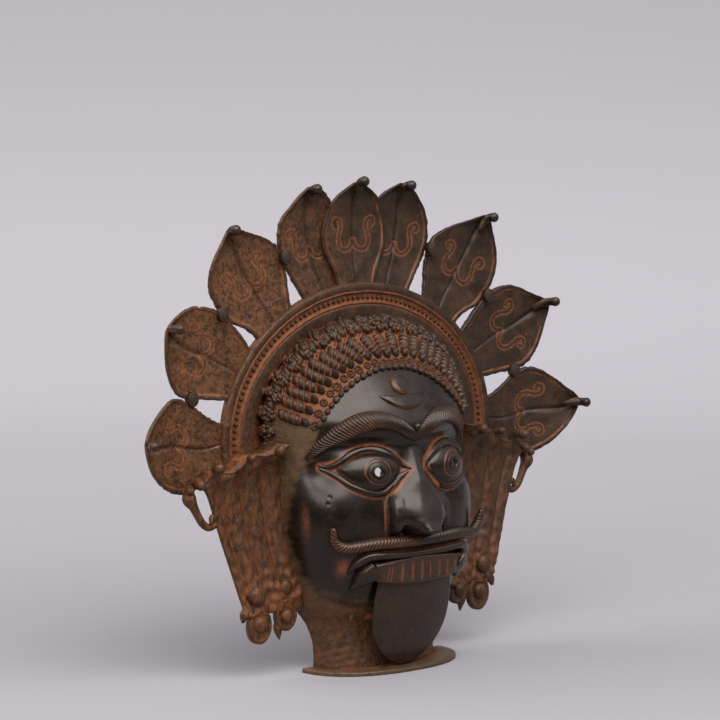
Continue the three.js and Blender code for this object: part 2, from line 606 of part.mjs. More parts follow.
for (const side of [-1, 1]) {
  // Brow, eye, moustache, lip, fang
  pieces.push(ridge(BROW, side), ridge(LID_UPPER, side), ridge(LID_LOWER, side));
  const eyeRing = (k, out) =>
    EYE.outline.map(([s, z]) =>
      skin(side * (EYE.centre[0] + k * (s - EYE.centre[0])), EYE.centre[1] + k * (z - EYE.centre[1]), out),
    );
  const ball = [eyeRing(1, -2), eyeRing(0.98, 1.5), eyeRing(0.7, EYE.rise * 0.62), eyeRing(0.36, EYE.rise)];
  pieces.push(loft(ball));
  pieces.push(faceBar(MOUSTACHE, side, 6), ridge(LIP, side), ridge(FANG, side));
  // Curl rolls with their studs, and the garland
  ROLL_INNER.forEach(([s, z], i) => {
    if (i === 0 && side < 0) return;
    const [so, zo] = ROLL_OUTER[i];
    const length = Math.hypot(so - s, zo - z);
    const at = (d) => [s + ((so - s) * d) / length, z + ((zo - z) * d) / length];
    const profile = ROLL_PROFILE.map(([d, w, rise]) => [...at(d), w, rise]);
    pieces.push(ridge([...profile, [so, zo, 3.8, 3.2]], side));
  });
  const { rs, rz, rise } = GARLAND_BUTTON;
  GARLAND.forEach(([s, z]) => pieces.push(button(side * s, z, rs, rz, rise, 5)));
  pieces.push(ridge(HAIRLINE.map(([s, z]) => [s, z, HAIRLINE_HALF, HAIRLINE_RISE]), side));

  // Hoods, heads and bosses of this side
  const edges = [
    [HOOD_LOW, HEADS.low],
    [HOOD_MIDDLE, HEADS.middle],
    [HOOD_HIGH, HEADS.high],
    [HOOD_SIDE, HEADS.side],
  ];
  for (const [rungs, head] of edges) {
    pieces.push(hood(rungs, side));
    pieces.push(bar(mirrored(head, side), 6));
  }
  for (const [x, z] of JOINT_BOSSES) {
    const { across, up, front, back } = JOINT_BOSS;
    pieces.push(plug(side * x, z, across, up, [[0.9, back], [1, -0.5], [0.5, front]], 8));
  }

  // Fluted side panel: its flared top rows reach back to the arch plane
  const front = PANEL_ROWS.map(([zIn, zOut, xIn, xOut, yIn, yOut], i) =>
    Array.from({ length: PANEL_COLUMNS + 1 }, (_, j) => {
      const k = j / PANEL_COLUMNS;
      const swell = (j % 2 ? -1 : 0.4) * FLUTE * (FLUTE_START[i] ?? 1 - 0.35 * (i / PANEL_ROWS.length));
      const rise = PANEL_LIP[j] * (LIP_FADE[i] ?? 0);
      const x = side * (xIn + (xOut - xIn) * k);
      return [x, yIn + (yOut - yIn) * k + swell, zIn + (zOut - zIn) * k + rise];
    }),
  );
  const back = front.map((row, i) => {
    const wedge = WEDGE[i] ?? 0;
    return row.map(([x, y, z]) => [x, (y + PLATE + 0.5) * (1 - wedge) + PLATE * wedge, z]);
  });
  pieces.push(slab(front, back), bar(mirrored(HOOK, side), 6));
  for (const curl of PANEL_CURLS) pieces.push(bar(mirrored(curl, side), 6));
  for (const [x, z, rx, rz, y] of PENDANTS)
    pieces.push(plug(side * x, z, rx, rz, [[1, y + 5], [1, y + 1], [0.92, y]], 12));
  for (const [x, z, r, rise, y] of PENDANT_DOMES)
    pieces.push(plug(side * x, z, r, r, [[1, y + 3], [1, y - 0.5], [0.55, y - rise]], 7));
  for (const leaf of LEAVES) pieces.push(bar(mirrored(leaf, side), 5));
}
pieces.push(hood(HOOD_CENTRE, 1), bar(HEADS.centre, 6));

// A hood plate through its rungs, dished along its middle.
function hood(rungs, side) {
  const front = rungs.map(([ax, az, ay, bx, bz, by], i) => {
    const dish = i === 0 || i === rungs.length - 1 ? 0 : HOOD_DISH;
    return [
      [side * ax, ay, az],
      [(side * (ax + bx)) / 2, (ay + by) / 2 + dish, (az + bz) / 2],
      [side * bx, by, bz],
    ];
  });
  return slab(front, front.map((row) => row.map(([x, y, z]) => [x, y + PLATE, z])));
}

// Forehead mark, boss between the brows, teeth band
pieces.push(button(0, DISC.z, DISC.rs, DISC.rz, DISC.rise, 12));
pieces.push(ridge(CRESCENT, 1));
pieces.push(button(0, BROW_BOSS.z, BROW_BOSS.r, BROW_BOSS.r, BROW_BOSS.rise, 7));
const teethRow = (down, out) =>
  Array.from({ length: 13 }, (_, i) => {
    const s = TEETH.reach * (i / 6 - 1);
    const bend = (s / TEETH.reach) ** 2;
    const upper = TEETH.top - TEETH.topFall * bend;
    const lower = TEETH.bottom + TEETH.bottomClimb * bend;
    return skin(s, upper + (lower - upper) * down, out);
  });
const teethRows = [0, 0.5, 1];
const teethFront = teethRows.map((down) => teethRow(down, TEETH.rise + (down < 1 ? 1 : -1)));
pieces.push(slab(teethFront, teethRows.map((down) => teethRow(down, -2))));

// Arch: its section carried along the ellipse
const spread = Math.asin(ARCH.drop / ARCH.rz);
const archRing = (t) =>
  ARCH_SECTION.map(([out, y]) => [(ARCH.rx + out) * Math.cos(t), y, ARCH.z + (ARCH.rz + out) * Math.sin(t)]);
const archTurn = (i) => -spread + ((Math.PI + 2 * spread) * i) / ARCH.steps;
pieces.push(loft(Array.from({ length: ARCH.steps + 1 }, (_, i) => archRing(archTurn(i)))));

let mask = pieces.reduce((all, piece) => all.add(piece));
mask = lighten(mask.subtract(hollow), MASK_TRIANGLES);
for (const side of [-1, 1]) {
  const { s, z, bore } = PUPIL;
  mask = mask.subtract(faceBar(bore.map(([out, radius]) => [s, z, out, radius]), side, 8));
  const hole = PANEL_HOLE;
  mask = mask.subtract(plug(side * hole.x, hole.z, hole.radius, hole.radius, [[1, -60], [1, 20]], 6));
}

// Tongue
const tongueFront = TONGUE_ROWS.map(([z, w, y]) =>
  Array.from({ length: TONGUE.columns + 1 }, (_, j) => {
    const k = (2 * j) / TONGUE.columns - 1;
    return [w * k, y + TONGUE.bow * (w / 46) ** 2 * k * k, z];
  }),
);
const tongueBack = tongueFront.map((row) => row.map(([x, y, z]) => [x, y + TONGUE.thickness, z]));
const tongue = slab(tongueFront, tongueBack);
const swollen = slab(
  tongueFront.map((row) => row.map(([x, y, z]) => [x * 1.008, y - CLEAR, z + (z > 90 ? CLEAR : 0)])),
  tongueBack.map((row) => row.map(([x, y, z]) => [x * 1.008, y + CLEAR, z + (z > 90 ? CLEAR : 0)])),
);
mask = mask.subtract(swollen);

function node(name, solid, colour, roughness) {
  const mesh = solid.getMesh();
  const geometry = new THREE.BufferGeometry();
  geometry.setAttribute("position", new THREE.BufferAttribute(new Float32Array(mesh.vertProperties), 3));
  geometry.setIndex(new THREE.BufferAttribute(new Uint32Array(mesh.triVerts), 1));
  geometry.computeVertexNormals();
  const bronze = new THREE.MeshStandardMaterial({ color: colour, roughness, metalness: 0.8 });
  const made = new THREE.Mesh(geometry, bronze);
  made.name = name;
  return made;
}

const group = new THREE.Group();
group.add(node("mask", mask, 0x3f342b, 0.5));
group.add(node("tongue", tongue, 0x2c2622, 0.45));
const box = new THREE.Box3().setFromObject(group);
const shift = -(box.min.y + box.max.y) / 2;
for (const mesh of group.children) mesh.geometry.translate(0, shift, 0);

export default group;
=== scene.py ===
"""A cast bronze spirit mask on its own foot flange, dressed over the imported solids."""

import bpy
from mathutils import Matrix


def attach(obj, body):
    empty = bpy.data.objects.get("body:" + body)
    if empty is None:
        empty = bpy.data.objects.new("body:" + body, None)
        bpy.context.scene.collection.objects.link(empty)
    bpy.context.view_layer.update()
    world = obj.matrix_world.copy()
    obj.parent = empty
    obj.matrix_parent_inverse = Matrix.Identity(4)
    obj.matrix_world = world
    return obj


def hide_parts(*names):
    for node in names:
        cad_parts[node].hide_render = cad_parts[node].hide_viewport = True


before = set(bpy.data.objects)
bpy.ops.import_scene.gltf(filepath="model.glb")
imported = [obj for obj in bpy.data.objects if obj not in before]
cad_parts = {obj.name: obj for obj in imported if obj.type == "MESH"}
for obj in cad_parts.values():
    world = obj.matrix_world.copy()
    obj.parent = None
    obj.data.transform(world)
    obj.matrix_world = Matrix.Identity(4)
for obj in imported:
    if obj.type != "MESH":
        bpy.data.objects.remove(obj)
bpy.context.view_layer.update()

import math

import bpy
import numpy as np
from mathutils import Matrix, Vector
from mathutils.bvhtree import BVHTree

bl_info = {
    "name": "Bronze spirit mask",
    "version": (1, 0, 0),
    "blender": (4, 5, 0),
    "location": "3D View > Sidebar > Spirit mask",
    "description": "Builds a cast bronze mask with a crown of cobra hoods, its finishes and its stage",
    "category": "Object",
}

# Everything is laid out in millimetres from the plane of the arch, and moved into the frame at the end
MM = 0.001
ARCH_PLANE = 45.62

# Face and neck: height, half width at the back, depth before the arch plane, section exponent, back edge
STATIONS = np.array([
    [-2, 73, 56, 2.3, -14], [25, 74, 54, 2.3, -14], [44, 79, 57, 2.3, -12], [58, 86, 67, 2.3, -8],
    [72, 91, 73, 2.3, -4], [92, 97, 78, 2.4, 0], [115, 103, 81, 2.6, 0], [145, 107, 80, 2.7, 0],
    [165, 108, 78, 2.6, 0], [190, 109, 75, 2.1, 0], [210, 113, 76, 1.88, 0], [230, 116, 79, 1.72, 0],
    [250, 116, 69, 1.68, 0], [270, 108, 55, 1.72, 0], [281, 101, 47, 1.8, 0], [300, 82, 33, 1.95, 0],
    [315, 54, 18, 2.1, 0], [325, 18, 6, 2.1, 0],
], float)
TOP = 325.0
WALL = 4.0
PLATE = 4.0
# One cell of the plain inner wall lies behind this many rows and columns of the outer one
INNER_RATIO = 5
INNER_COLUMNS = 57

# Nose, from the top: height, half width, and how far it stands off the face at the places across it
NOSE = [
    (214, 10, 0, 0, 0, 0, 0, 0), (209, 11, 2, 1.8, 1.4, 0.9, 0.4, 0.1),
    (203, 13, 4.6, 4.2, 3.2, 2.1, 1, 0.3), (194, 17.5, 9, 8.3, 6.4, 4.2, 1.9, 0.7),
    (188, 20.5, 12, 11, 8.6, 5.8, 2.6, 0.9), (182, 23.5, 14.5, 13.5, 10.8, 7.4, 3.4, 1.2),
    (176, 27.5, 15.8, 14.8, 12.2, 8.8, 4.8, 1.9), (170, 31.5, 17, 16, 13.4, 10.2, 7.4, 3.9),
    (165, 34.5, 18.4, 17.6, 15, 12.2, 10.4, 6.5), (160, 36, 20.3, 19.5, 17.1, 14.4, 12.5, 8.9),
    (154, 36.5, 22.1, 21.3, 19, 16, 13.6, 10.2), (149, 36.5, 23.3, 22.5, 19.9, 16.4, 14, 10.7),
    (143, 36, 25, 24.2, 19.8, 13.6, 13.4, 10.3), (138, 35.2, 27.4, 25.4, 14, 6, 11.6, 8.8),
    (134.5, 34.5, 27.8, 23.8, 4, 1, 6.6, 4.8), (132.5, 34, 23.8, 15.8, 1, 0, 2, 1.4),
    (131, 33.5, 10, 5, 0, 0, 0, 0), (130, 33, 0, 0, 0, 0, 0, 0),
]
NOSE_ACROSS = (0, 0.25, 0.45, 0.6, 0.8, 0.93)

# Lines on the face: distance along it from the middle, height, half width, rise
BROW = [
    (-1, 221.5, 5, 3.5), (7.5, 225.4, 5.8, 4.5), (17.5, 231.8, 6.8, 5.4), (29.7, 236.9, 7.4, 6),
    (42.6, 238.4, 7.8, 6.2), (56.1, 236.4, 8.2, 6.2), (69.7, 231.5, 8, 6), (83, 224.4, 7.2, 5.4),
    (95.7, 214.8, 5.6, 4), (107.5, 204, 2, 1.5),
]
LID_UPPER = [
    (8, 192.5, 1.2, 1.0), (13.5, 195.5, 2.5, 2.4), (22.5, 202.4, 3.8, 3.4), (31.7, 207.8, 4.2, 4),
    (43.9, 211.2, 3.9, 4.4), (54.5, 211, 3.6, 4.4), (65.3, 207.9, 3.5, 4), (74.9, 201.7, 3.2, 3.4),
    (84.8, 197.3, 2.8, 2.6), (95.4, 197.2, 1.5, 1),
]
LID_LOWER = [
    (11, 190.5, 1.2, 1), (18.7, 185, 3, 2.6), (27.6, 176.8, 3.5, 3.4), (38.1, 171.5, 3.2, 3.8),
    (50.2, 171.5, 3, 3.8), (60.8, 174.9, 3.1, 3.6), (69.8, 179.6, 3.1, 3.2), (77.3, 186.4, 3, 2.8),
    (87, 192.3, 2.5, 2), (95.8, 195.2, 1.2, 0.8),
]
EYE_OUTLINE = [
    (15, 192.5), (22.7, 200.4), (33.3, 206.6), (44.4, 208.8), (55.6, 208), (66.8, 203.7), (80.9, 195.3),
    (71.5, 184.4), (61.4, 177), (49.9, 173), (37.7, 173.3), (24.8, 180),
]
# The drilled pupil, the funnel behind it, and the room left for both in the two walls as (radius, depth)
PUPIL = (44.0, 190.9)
PUPIL_RADIUS, PUPIL_DEPTH = 3.75, 4.0
FUNNEL_DEPTH, FUNNEL_SPREAD = 16.0, 3.2
OUTER_GAP, INNER_GAP = (8.0, 0.0), (12.0, 10.0)
# Eyeball: how far it bulges, and the iris's edge and two rings as distances from the middle of the pupil
EYE_BULGE, IRIS_EDGE, IRIS_RING, PUPIL_RING = 5.2, (10.2, 11.4), 11.2, 7.6
# Boss between the brows and disc on the forehead: distance along, height, half width, half height
BROW_BOSS, FOREHEAD_DISC = (0, 230.5, 3.8, 3.8), (0, 268, 10.6, 8.4)
# The moustache is a bar: distance along the face, height, how far out its middle lies, radius
MOUSTACHE = [
    (-2, 124, 2, 6), (12, 124.3, 2, 6.1), (32, 125, 2.4, 6.2), (52, 125.2, 2.6, 6), (66, 124, 3.2, 5.8),
    (77, 123.7, 4.5, 5.6), (84.5, 127.4, 6.5, 5.2), (87.8, 133, 8, 4.6), (88, 138, 9.2, 4),
    (87.8, 142, 10, 3),
]
LIP = [
    (-2, 113.4, 3.6, 8.6), (14, 113.7, 3.6, 8.6), (33, 114.4, 3.6, 8.4), (46, 115.2, 3.6, 8),
    (56, 114.8, 3.9, 7.4), (63, 111.6, 4.2, 6.6), (68.5, 106.8, 3.6, 5.4), (71, 101.8, 2.2, 3),
    (72, 98, 1.0, 1),
]
FANG = [
    (49, 104, 9.5, 11.2), (56.5, 98, 9.2, 10.8), (61.5, 91.5, 5.8, 8.6), (65.2, 86, 3, 5.6),
    (67.9, 80.6, 0.8, 2),
]
# Band of teeth: reach, top and bottom in the middle, and how much lower and higher they are at the ends
TEETH = (50.0, 110.8, 87.3, 2.2, 6.5)
TEETH_LINES = (-38, -34.5, -24, -22.6, -12.2, -10.8, -0.6, 0.8, 10, 20.5, 22, 30.5, 32, 41, 42.5)
CRESCENT = [
    (-27.5, 259.2, 0.5, 0.8), (-20.5, 256.4, 3, 2.4), (-11, 253.6, 5.6, 2.8), (0, 252.6, 6.6, 3),
    (11, 253.6, 5.6, 2.8), (20.5, 256.4, 3, 2.4), (27.5, 259.2, 0.5, 0.8),
]

# Hair: hairline, inner and outer ends of the curl rolls, and the garland, as (along, height)
HAIRLINE = [
    (0, 283.5), (8.3, 283.4), (15.4, 283.0), (23.8, 281.0), (31.8, 278.5), (40.7, 275.4), (48.9, 271.7),
    (56.6, 267.5), (64, 263), (70.9, 258), (77.7, 252.8), (82.9, 247.8), (87.8, 242.4), (93.3, 237.4),
    (97, 232.5),
]
ROLL_INNER = [
    (0, 295.5), (10.8, 295.8), (22.6, 294.7), (33.1, 292.3), (44.5, 288.4), (54, 284.9), (63.2, 280.2),
    (72.9, 273.3), (82.2, 266.8), (91.7, 258.6), (100, 249.1), (107, 238),
]
ROLL_OUTER = [
    (0, 312), (17, 311.8), (35, 309.6), (48, 306.2), (60.8, 301.3), (71, 297), (83.8, 291.8), (93.5, 284.8),
    (104.8, 276), (113.8, 267.3), (122.9, 258.6), (130, 246),
]
GARLAND = [
    (8, 320.5), (27, 318.5), (45.6, 315.3), (64.6, 308.9), (82.5, 300), (99.7, 289.4), (115.6, 275.4),
    (129, 261.5), (141, 245), (146, 229), (146, 213),
]

# Beads as (radius, stretch), rosettes as (bead radius, ring radius, beads), and how far they lie below the rolls
HAIR_BEAD, ARCH_BEAD = (2.8, (1.36, 1.1, 0.9)), (1.9, (0.9, 1.05, 1.0))
ROSETTE, ROSETTE_BELOW = (1.3, 3.3, 8), 8.5
# Flowers of the garland and the smaller ones between them: half width, half height
FLOWER, SMALL_FLOWER = (8.2, 7.2), (4.5, 5.5)

# Edge of the rubbed face, from the chin up one side to the hairline: height, distance along from the middle
RUBBED = [
    (62, 0), (65, 30), (66, 42), (67.5, 62), (75.3, 88), (88.8, 110.6), (104, 124), (132, 138), (158, 134),
    (180, 124), (200, 109), (214, 101), (227, 98), (238.5, 92), (248.7, 81.5), (258.5, 70), (268, 55.5),
    (275.9, 38.5), (281, 22), (283.5, 0),
]
# Casting pits: distance along, height, radius
PITS = [(-88.9, 169.8, 1.3), (-91.2, 163.7, 1.0)]

# Arch: ellipse of its bead line and its section as (offset outwards, y, red earth)
ARCH_RX, ARCH_RZ, ARCH_Z, ARCH_DROP = 151.3, 128.0, 218.6, 26.0
ARCH_SECTION = [
    (13.3, 7, 0), (13.7, 5, 0.3), (13.7, 0.8, 0.3), (13, -0.5, 0.1), (11.8, -1.2, 0), (9.5, -1.3, 0),
    (7.1, -1.3, 0.1), (6.4, -0.3, 0.9), (5.8, -1.1, 0.5), (5.2, -1.6, 0.4), (4.5, -1.3, 0.7), (4.1, 0.7, 1),
    (2.5, 1.1, 1), (-2.5, 1.1, 1), (-4.1, 0.7, 1), (-4.5, -1.3, 0.7), (-5.2, -1.6, 0.4), (-5.8, -1.1, 0.5),
    (-6.4, -0.1, 0.9), (-7.1, -1.0, 0.2), (-9, -1.2, 0), (-14, -1.2, 0), (-20.4, -0.9, 0), (-21.5, -0.5, 0),
    (-22, 0.6, 0.4), (-22.2, 2.2, 1), (-42, 2.2, 1), (-42, 7, 0),
]

# Hoods, from the root to the tip: one edge (x, z, y), the other edge (x, z, y)
HOODS = {
    "low": [
        (152, 210, 3, 152, 234, 3), (183, 186, 3, 182, 247, 3), (203, 177.5, 2, 199, 259, 2),
        (218, 178.5, 0, 218, 266, 0), (232, 184, -5, 232, 261.5, -5), (244, 192, -9.5, 245, 253, -10),
        (254, 202, -14, 256, 244, -15), (262, 215, -19.5, 263.5, 237, -20.5),
        (266, 227, -23.5, 266.5, 232, -23.5),
    ],
    "middle": [
        (140, 257, 3, 122, 296, 3), (182, 262, 3, 149, 327, 3), (199, 264, 3, 164, 340, 3),
        (214, 268, 1, 181, 347, 3), (224, 280, -1.5, 197, 348, 2), (230, 294, -4, 210, 343.5, 0),
        (233, 309, -7, 221, 338.5, -4), (234.5, 320, -10, 229, 334.5, -9),
        (234.5, 329, -12.8, 233, 332, -12.8),
    ],
    "high": [
        (113, 306, 3, 78, 324, 3), (137, 325, 4, 84, 358, 5), (151, 330, 4, 85, 371, 6),
        (165, 343, 4, 90, 389, 6), (174, 356, 4, 97, 399, 6), (177, 370, 3, 107, 405, 5),
        (174, 386, 1, 121, 410, 3), (167, 402, -2, 141, 415, -1), (161, 415, -5, 155, 419, -5),
    ],
    "side": [
        (9, 338, 6.5, 56, 334, 5), (12, 370, 10.5, 74, 363, 8), (14, 388, 12.3, 85, 380, 9),
        (16, 402, 13, 91, 396, 9), (20, 418, 12.3, 92, 410, 9), (26, 434, 11, 88, 424, 8),
        (37, 445, 6, 79, 435, 5), (46, 450, 3, 70, 445, 3), (53.5, 453, 2, 61, 451.5, 2),
    ],
    "centre": [
        (-20, 342, 4.5, 20, 342, 4.5), (-28, 373, 7.5, 28, 373, 7.5), (-36, 389, 9, 36, 389, 9),
        (-39.5, 406, 9.8, 39.5, 406, 9.8), (-36, 423, 9.5, 36, 423, 9.5), (-28, 437, 7, 28, 437, 7),
        (-19, 446, 4.5, 19, 446, 4.5), (-9, 452, 3, 9, 452, 3), (-4, 455, 2, 4, 455, 2),
    ],
}
HOOD_NAMES = ("low", "middle", "high", "side")
# Heads, bars from the hood forwards: x, y, z, radius
HEADS = {
    "low": [
        (253, -15, 228, 1.8), (261, -22, 229.4, 4.2), (265, -28, 229.6, 4.0), (266.4, -33, 229.4, 4.7),
    ],
    "middle": [
        (223, -2, 324, 2.2), (229, -10.5, 329.5, 4.2), (231.3, -18, 331, 4.0), (231, -24.5, 331.4, 4.7),
    ],
    "high": [
        (151, 0, 405, 1.8), (157.3, -4.5, 415, 4.2), (158.6, -8.5, 416.8, 4.0), (158.6, -13, 416.8, 4.8),
    ],
    "side": [
        (56.5, 6, 439, 1.8), (57, 2, 448.5, 4.4), (57.8, -2.5, 450.6, 4.2), (58, -6.5, 450.6, 5),
    ],
    "centre": [
        (0, 6, 442, 1.8), (0, 2.5, 451.5, 4.6), (0, -1, 455.3, 4.4), (0, -5.5, 456.1, 5.1),
    ],
}
# Bosses where two hoods meet: x, z
JOINT_BOSSES = [(90.1, 388.3), (163.7, 339.4), (199, 263.8)]
# Grid of a hood, how far its border lies from the edge, and its engraved mark, one half: across and up
HOOD_ROWS, HOOD_COLUMNS = 118, 65
BORDER_INSET = 5.0
MARK_SCALE = 1.08
SPECTACLE = [
    (0.5, 8), (3, 2.5), (8.5, -0.5), (14, 1), (17, 7), (16, 14), (14.5, 20), (16, 25.5), (20.5, 26.5),
    (22.5, 22.5), (20.5, 20.5),
]

# Side panels: rows (height at the face, height at the outer edge, inner x, outer x, inner y, outer y)
PANEL_ROWS = [
    (219, 187, 115, 199, -36, -12), (214, 185.5, 113, 197.5, -31, -10.5), (206, 182, 111, 195, -23, -9.5),
    (194, 176, 108, 191, -16, -9), (165, 158, 106, 184, -13, -9), (138, 135, 104, 176.5, -14, -10),
    (104, 104, 97, 166.5, -18, -13), (74, 74, 88, 156.5, -22, -15.5), (62, 60, 92, 151, -20, -16),
]
PLEATS = 3.5
PLEAT_DEPTH = 4.6
# Wave of a panel's upper lip: place across it, rise
PANEL_LIP = [
    (0, 0), (0.13, -2), (0.27, 0), (0.4, 4.5), (0.5, 2), (0.64, -2), (0.78, 3), (0.88, 4.5), (0.95, -1),
    (1, 0),
]
# Curls on the lip, the hook under its outer corner and the leaves below: x, y, z, radius
PANEL_CURLS = [
    [(118, -26, 210, 4.4), (123, -31, 213.5, 4.8), (125.5, -36, 214.5, 5.2)],
    [(152, -24, 208, 3.4), (154, -28, 209.5, 3.8), (154.6, -31, 209.6, 3.6)],
    [(183, -12, 195, 4), (184.5, -16.5, 202, 4), (187, -21.5, 204, 4.8), (189, -26.5, 202.5, 5)],
    [(199, -8, 190, 4.4), (201, -12, 187.5, 5.2), (201.5, -15, 186.5, 4.6)],
    [(208, -6, 183, 4), (210.5, -9, 182.3, 4.4), (211, -12, 182.2, 3.8)],
]
HOOK = [
    (207, -4, 181, 4.5), (209, -7, 174.5, 6.6), (204.5, -7.5, 166.5, 4.4), (200, -8, 158, 3.7),
    (195, -8.5, 150.5, 3.6), (188, -8.5, 146.5, 3.6), (181.5, -9, 149.5, 3.6), (182, -10, 155, 3.2),
    (186.5, -11, 155.5, 2.8), (187.5, -12, 152, 2.4),
]
# Discs hung from a panel: x, height, half width, half height, y. Domes on it: x, height, radius, rise, y
PENDANTS = [(136, 50, 13.5, 17, -18), (107, 58, 12.5, 15.5, -20.5)]
PENDANT_DOMES = [
    (136, 52, 8, 5.5, -18), (107.5, 57, 7, 5.5, -20.5), (140.5, 79, 9.5, 7, -18), (108, 84, 7.5, 5.5, -20),
]
LEAVES = [
    [(112, -17, 53, 4), (114, -16, 46, 4.6), (113.5, -16, 41, 3.2), (112.5, -16, 35, 0.8)],
    [(147, -15, 66, 5), (153, -15.5, 61.5, 4.6), (155, -16, 56.5, 2)],
]
# Flange: half width, depth before and behind the arch plane, section exponent, height
FOOT = (86.3, 78.5, 17.5, 2.3, 4.0)
# Tongue, from the top: height, half width, y of its front
TONGUE_ROWS = [
    (97, 39.6, -84.6), (90, 43.2, -84.6), (74, 46.2, -83.4), (57, 46.4, -80.6), (42, 44.4, -77),
    (30, 39.4, -73.2), (20, 32, -69.8), (12, 22, -66.8), (4.8, 8, -64.4),
]
TONGUE_THICKNESS, TONGUE_BOW = 3.0, 6.4

# The photograph's camera, in millimetres from the arch plane, and its lens for a 36 mm wide sensor
CAMERA_PLACE = (-1848.64, -2201.77, 583.37)
CAMERA_AZIMUTH, CAMERA_PITCH = -40.0, 5.89
CAMERA_LENS = 152.46
# Painted shade on the backdrop paper: how bright it is at the mask, far behind it, and high up
PAPER_PAINTED_LIGHT = (0.52, 0.83, 0.88)
# The paper in metres: front edge, start of the bend, its radius, top edge, half width
PAPER_FRONT, PAPER_BEND, PAPER_RADIUS, PAPER_TOP, PAPER_HALF = -0.45, 1.6, 1.2, 5.0, 5.0
# Lamps: name, place, what it points at, size, power, colour
LAMPS = [
    ("front_ceiling", (-0.45, -1.75, 2.5), (0, 0, 0.25), (3.4, 2.2), 124, (0.985, 0.99, 1.0)),
    ("back_left", (-1.6, 1.6, 1.9), (-0.25, 0.3, 0), (2.0, 2.0), 30, (1, 0.99, 0.98)),
    ("left_strip", (-2.5, -1.3, 1.25), (0, 0, 0.25), (0.8, 1.4), 16, (1, 0.99, 0.98)),
]
ROOM, CEILING = (0.12, 0.117, 0.115), (1.0, 1.0, 1.05)

# Noises in the bronze, coarse to fine: scale, detail, roughness
CLOUDS, PATCHES, SPECKS, GRAIN = (55, 6, 0.72), (230, 7, 0.85), (600, 4, 0.75), (1300, 3, 0.6)
VERDIGRIS_SPOTS = (120, 5, 0.7)
# Tints of the patina beside those in the panel
VERDIGRIS, OCHRE, GREY_EARTH = (0.15, 0.15, 0.10), (0.2, 0.14, 0.07), (0.09, 0.06, 0.04)
# A point looks for walls near it from this far above the surface, these ways: across, up, outwards
LOOK_LIFT = 0.0003
LOOKS = (
    (0, 0, 1), (0.75, 0, 0.66), (-0.75, 0, 0.66), (0, 0.75, 0.66), (0, -0.75, 0.66),
    (0.66, 0.66, 0.35), (-0.66, 0.66, 0.35), (0.66, -0.66, 0.35), (-0.66, -0.66, 0.35),
)


# Small tools

def between(u, h, low, low_slope, high, high_slope):
    """Smooth curve between two places h apart, at the share u of the way."""
    out = (2 * u**3 - 3 * u**2 + 1) * low + (u**3 - 2 * u**2 + u) * h * low_slope
    return out + (-2 * u**3 + 3 * u**2) * high + (u**3 - u**2) * h * high_slope


def hermite(table, at, where):
    """Rows of the table on a smooth curve, at the places where, when the rows lie at the places at."""
    slope = np.gradient(table, at, axis=0)
    where = np.clip(where, at[0], at[-1])
    i = np.clip(np.searchsorted(at, where, side="right") - 1, 0, len(at) - 2)
    h = at[i + 1] - at[i]
    u = (where - at[i]) / h
    if table.ndim > 1:
        h, u = h[..., None], u[..., None]
    return between(u, h, table[i], slope[i], table[i + 1], slope[i + 1])


def run_of(points):
    """Length run along a line of points."""
    steps = np.linalg.norm(np.diff(points, axis=0), axis=1)
    return np.concatenate([[0], np.cumsum(steps)])


def smooth_line(points, step, across=2):
    """Stations about step apart on a smooth curve through the points, with the length run at each."""
    points = np.array(points, float)
    reach = run_of(points[:, :across])
    run = np.linspace(0, reach[-1], max(int(reach[-1] / step), 2) + 1)
    return hermite(points, reach, run), run


def bell(x, width):
    """One at x = 0, falling away on both sides."""
    return np.exp(-(x / width) ** 2)


def ramp(x, low, high):
    """A smooth step from 0 at low to 1 at high."""
    t = np.clip((x - low) / (high - low), 0, 1)
    return t * t * (3 - 2 * t)


class Ripple:
    """Smooth seeded unevenness of a casting, about one unit high, for points in millimetres."""

    def __init__(self, seed, size, waves=14):
        rng = np.random.default_rng(seed)
        turn = rng.normal(size=(waves, 3))
        turn /= np.linalg.norm(turn, axis=1)[:, None]
        self.waves = turn * (2 * np.pi / (size * rng.uniform(0.6, 1.6, waves)))[:, None]
        self.phase = rng.uniform(0, 2 * np.pi, waves)

    def __call__(self, points):
        return np.sin(points @ self.waves.T + self.phase).sum(axis=-1) / math.sqrt(len(self.phase))


def station(z, column):
    """Smooth value of one column of the stations at the heights."""
    return hermite(STATIONS[:, column], STATIONS[:, 0], z)


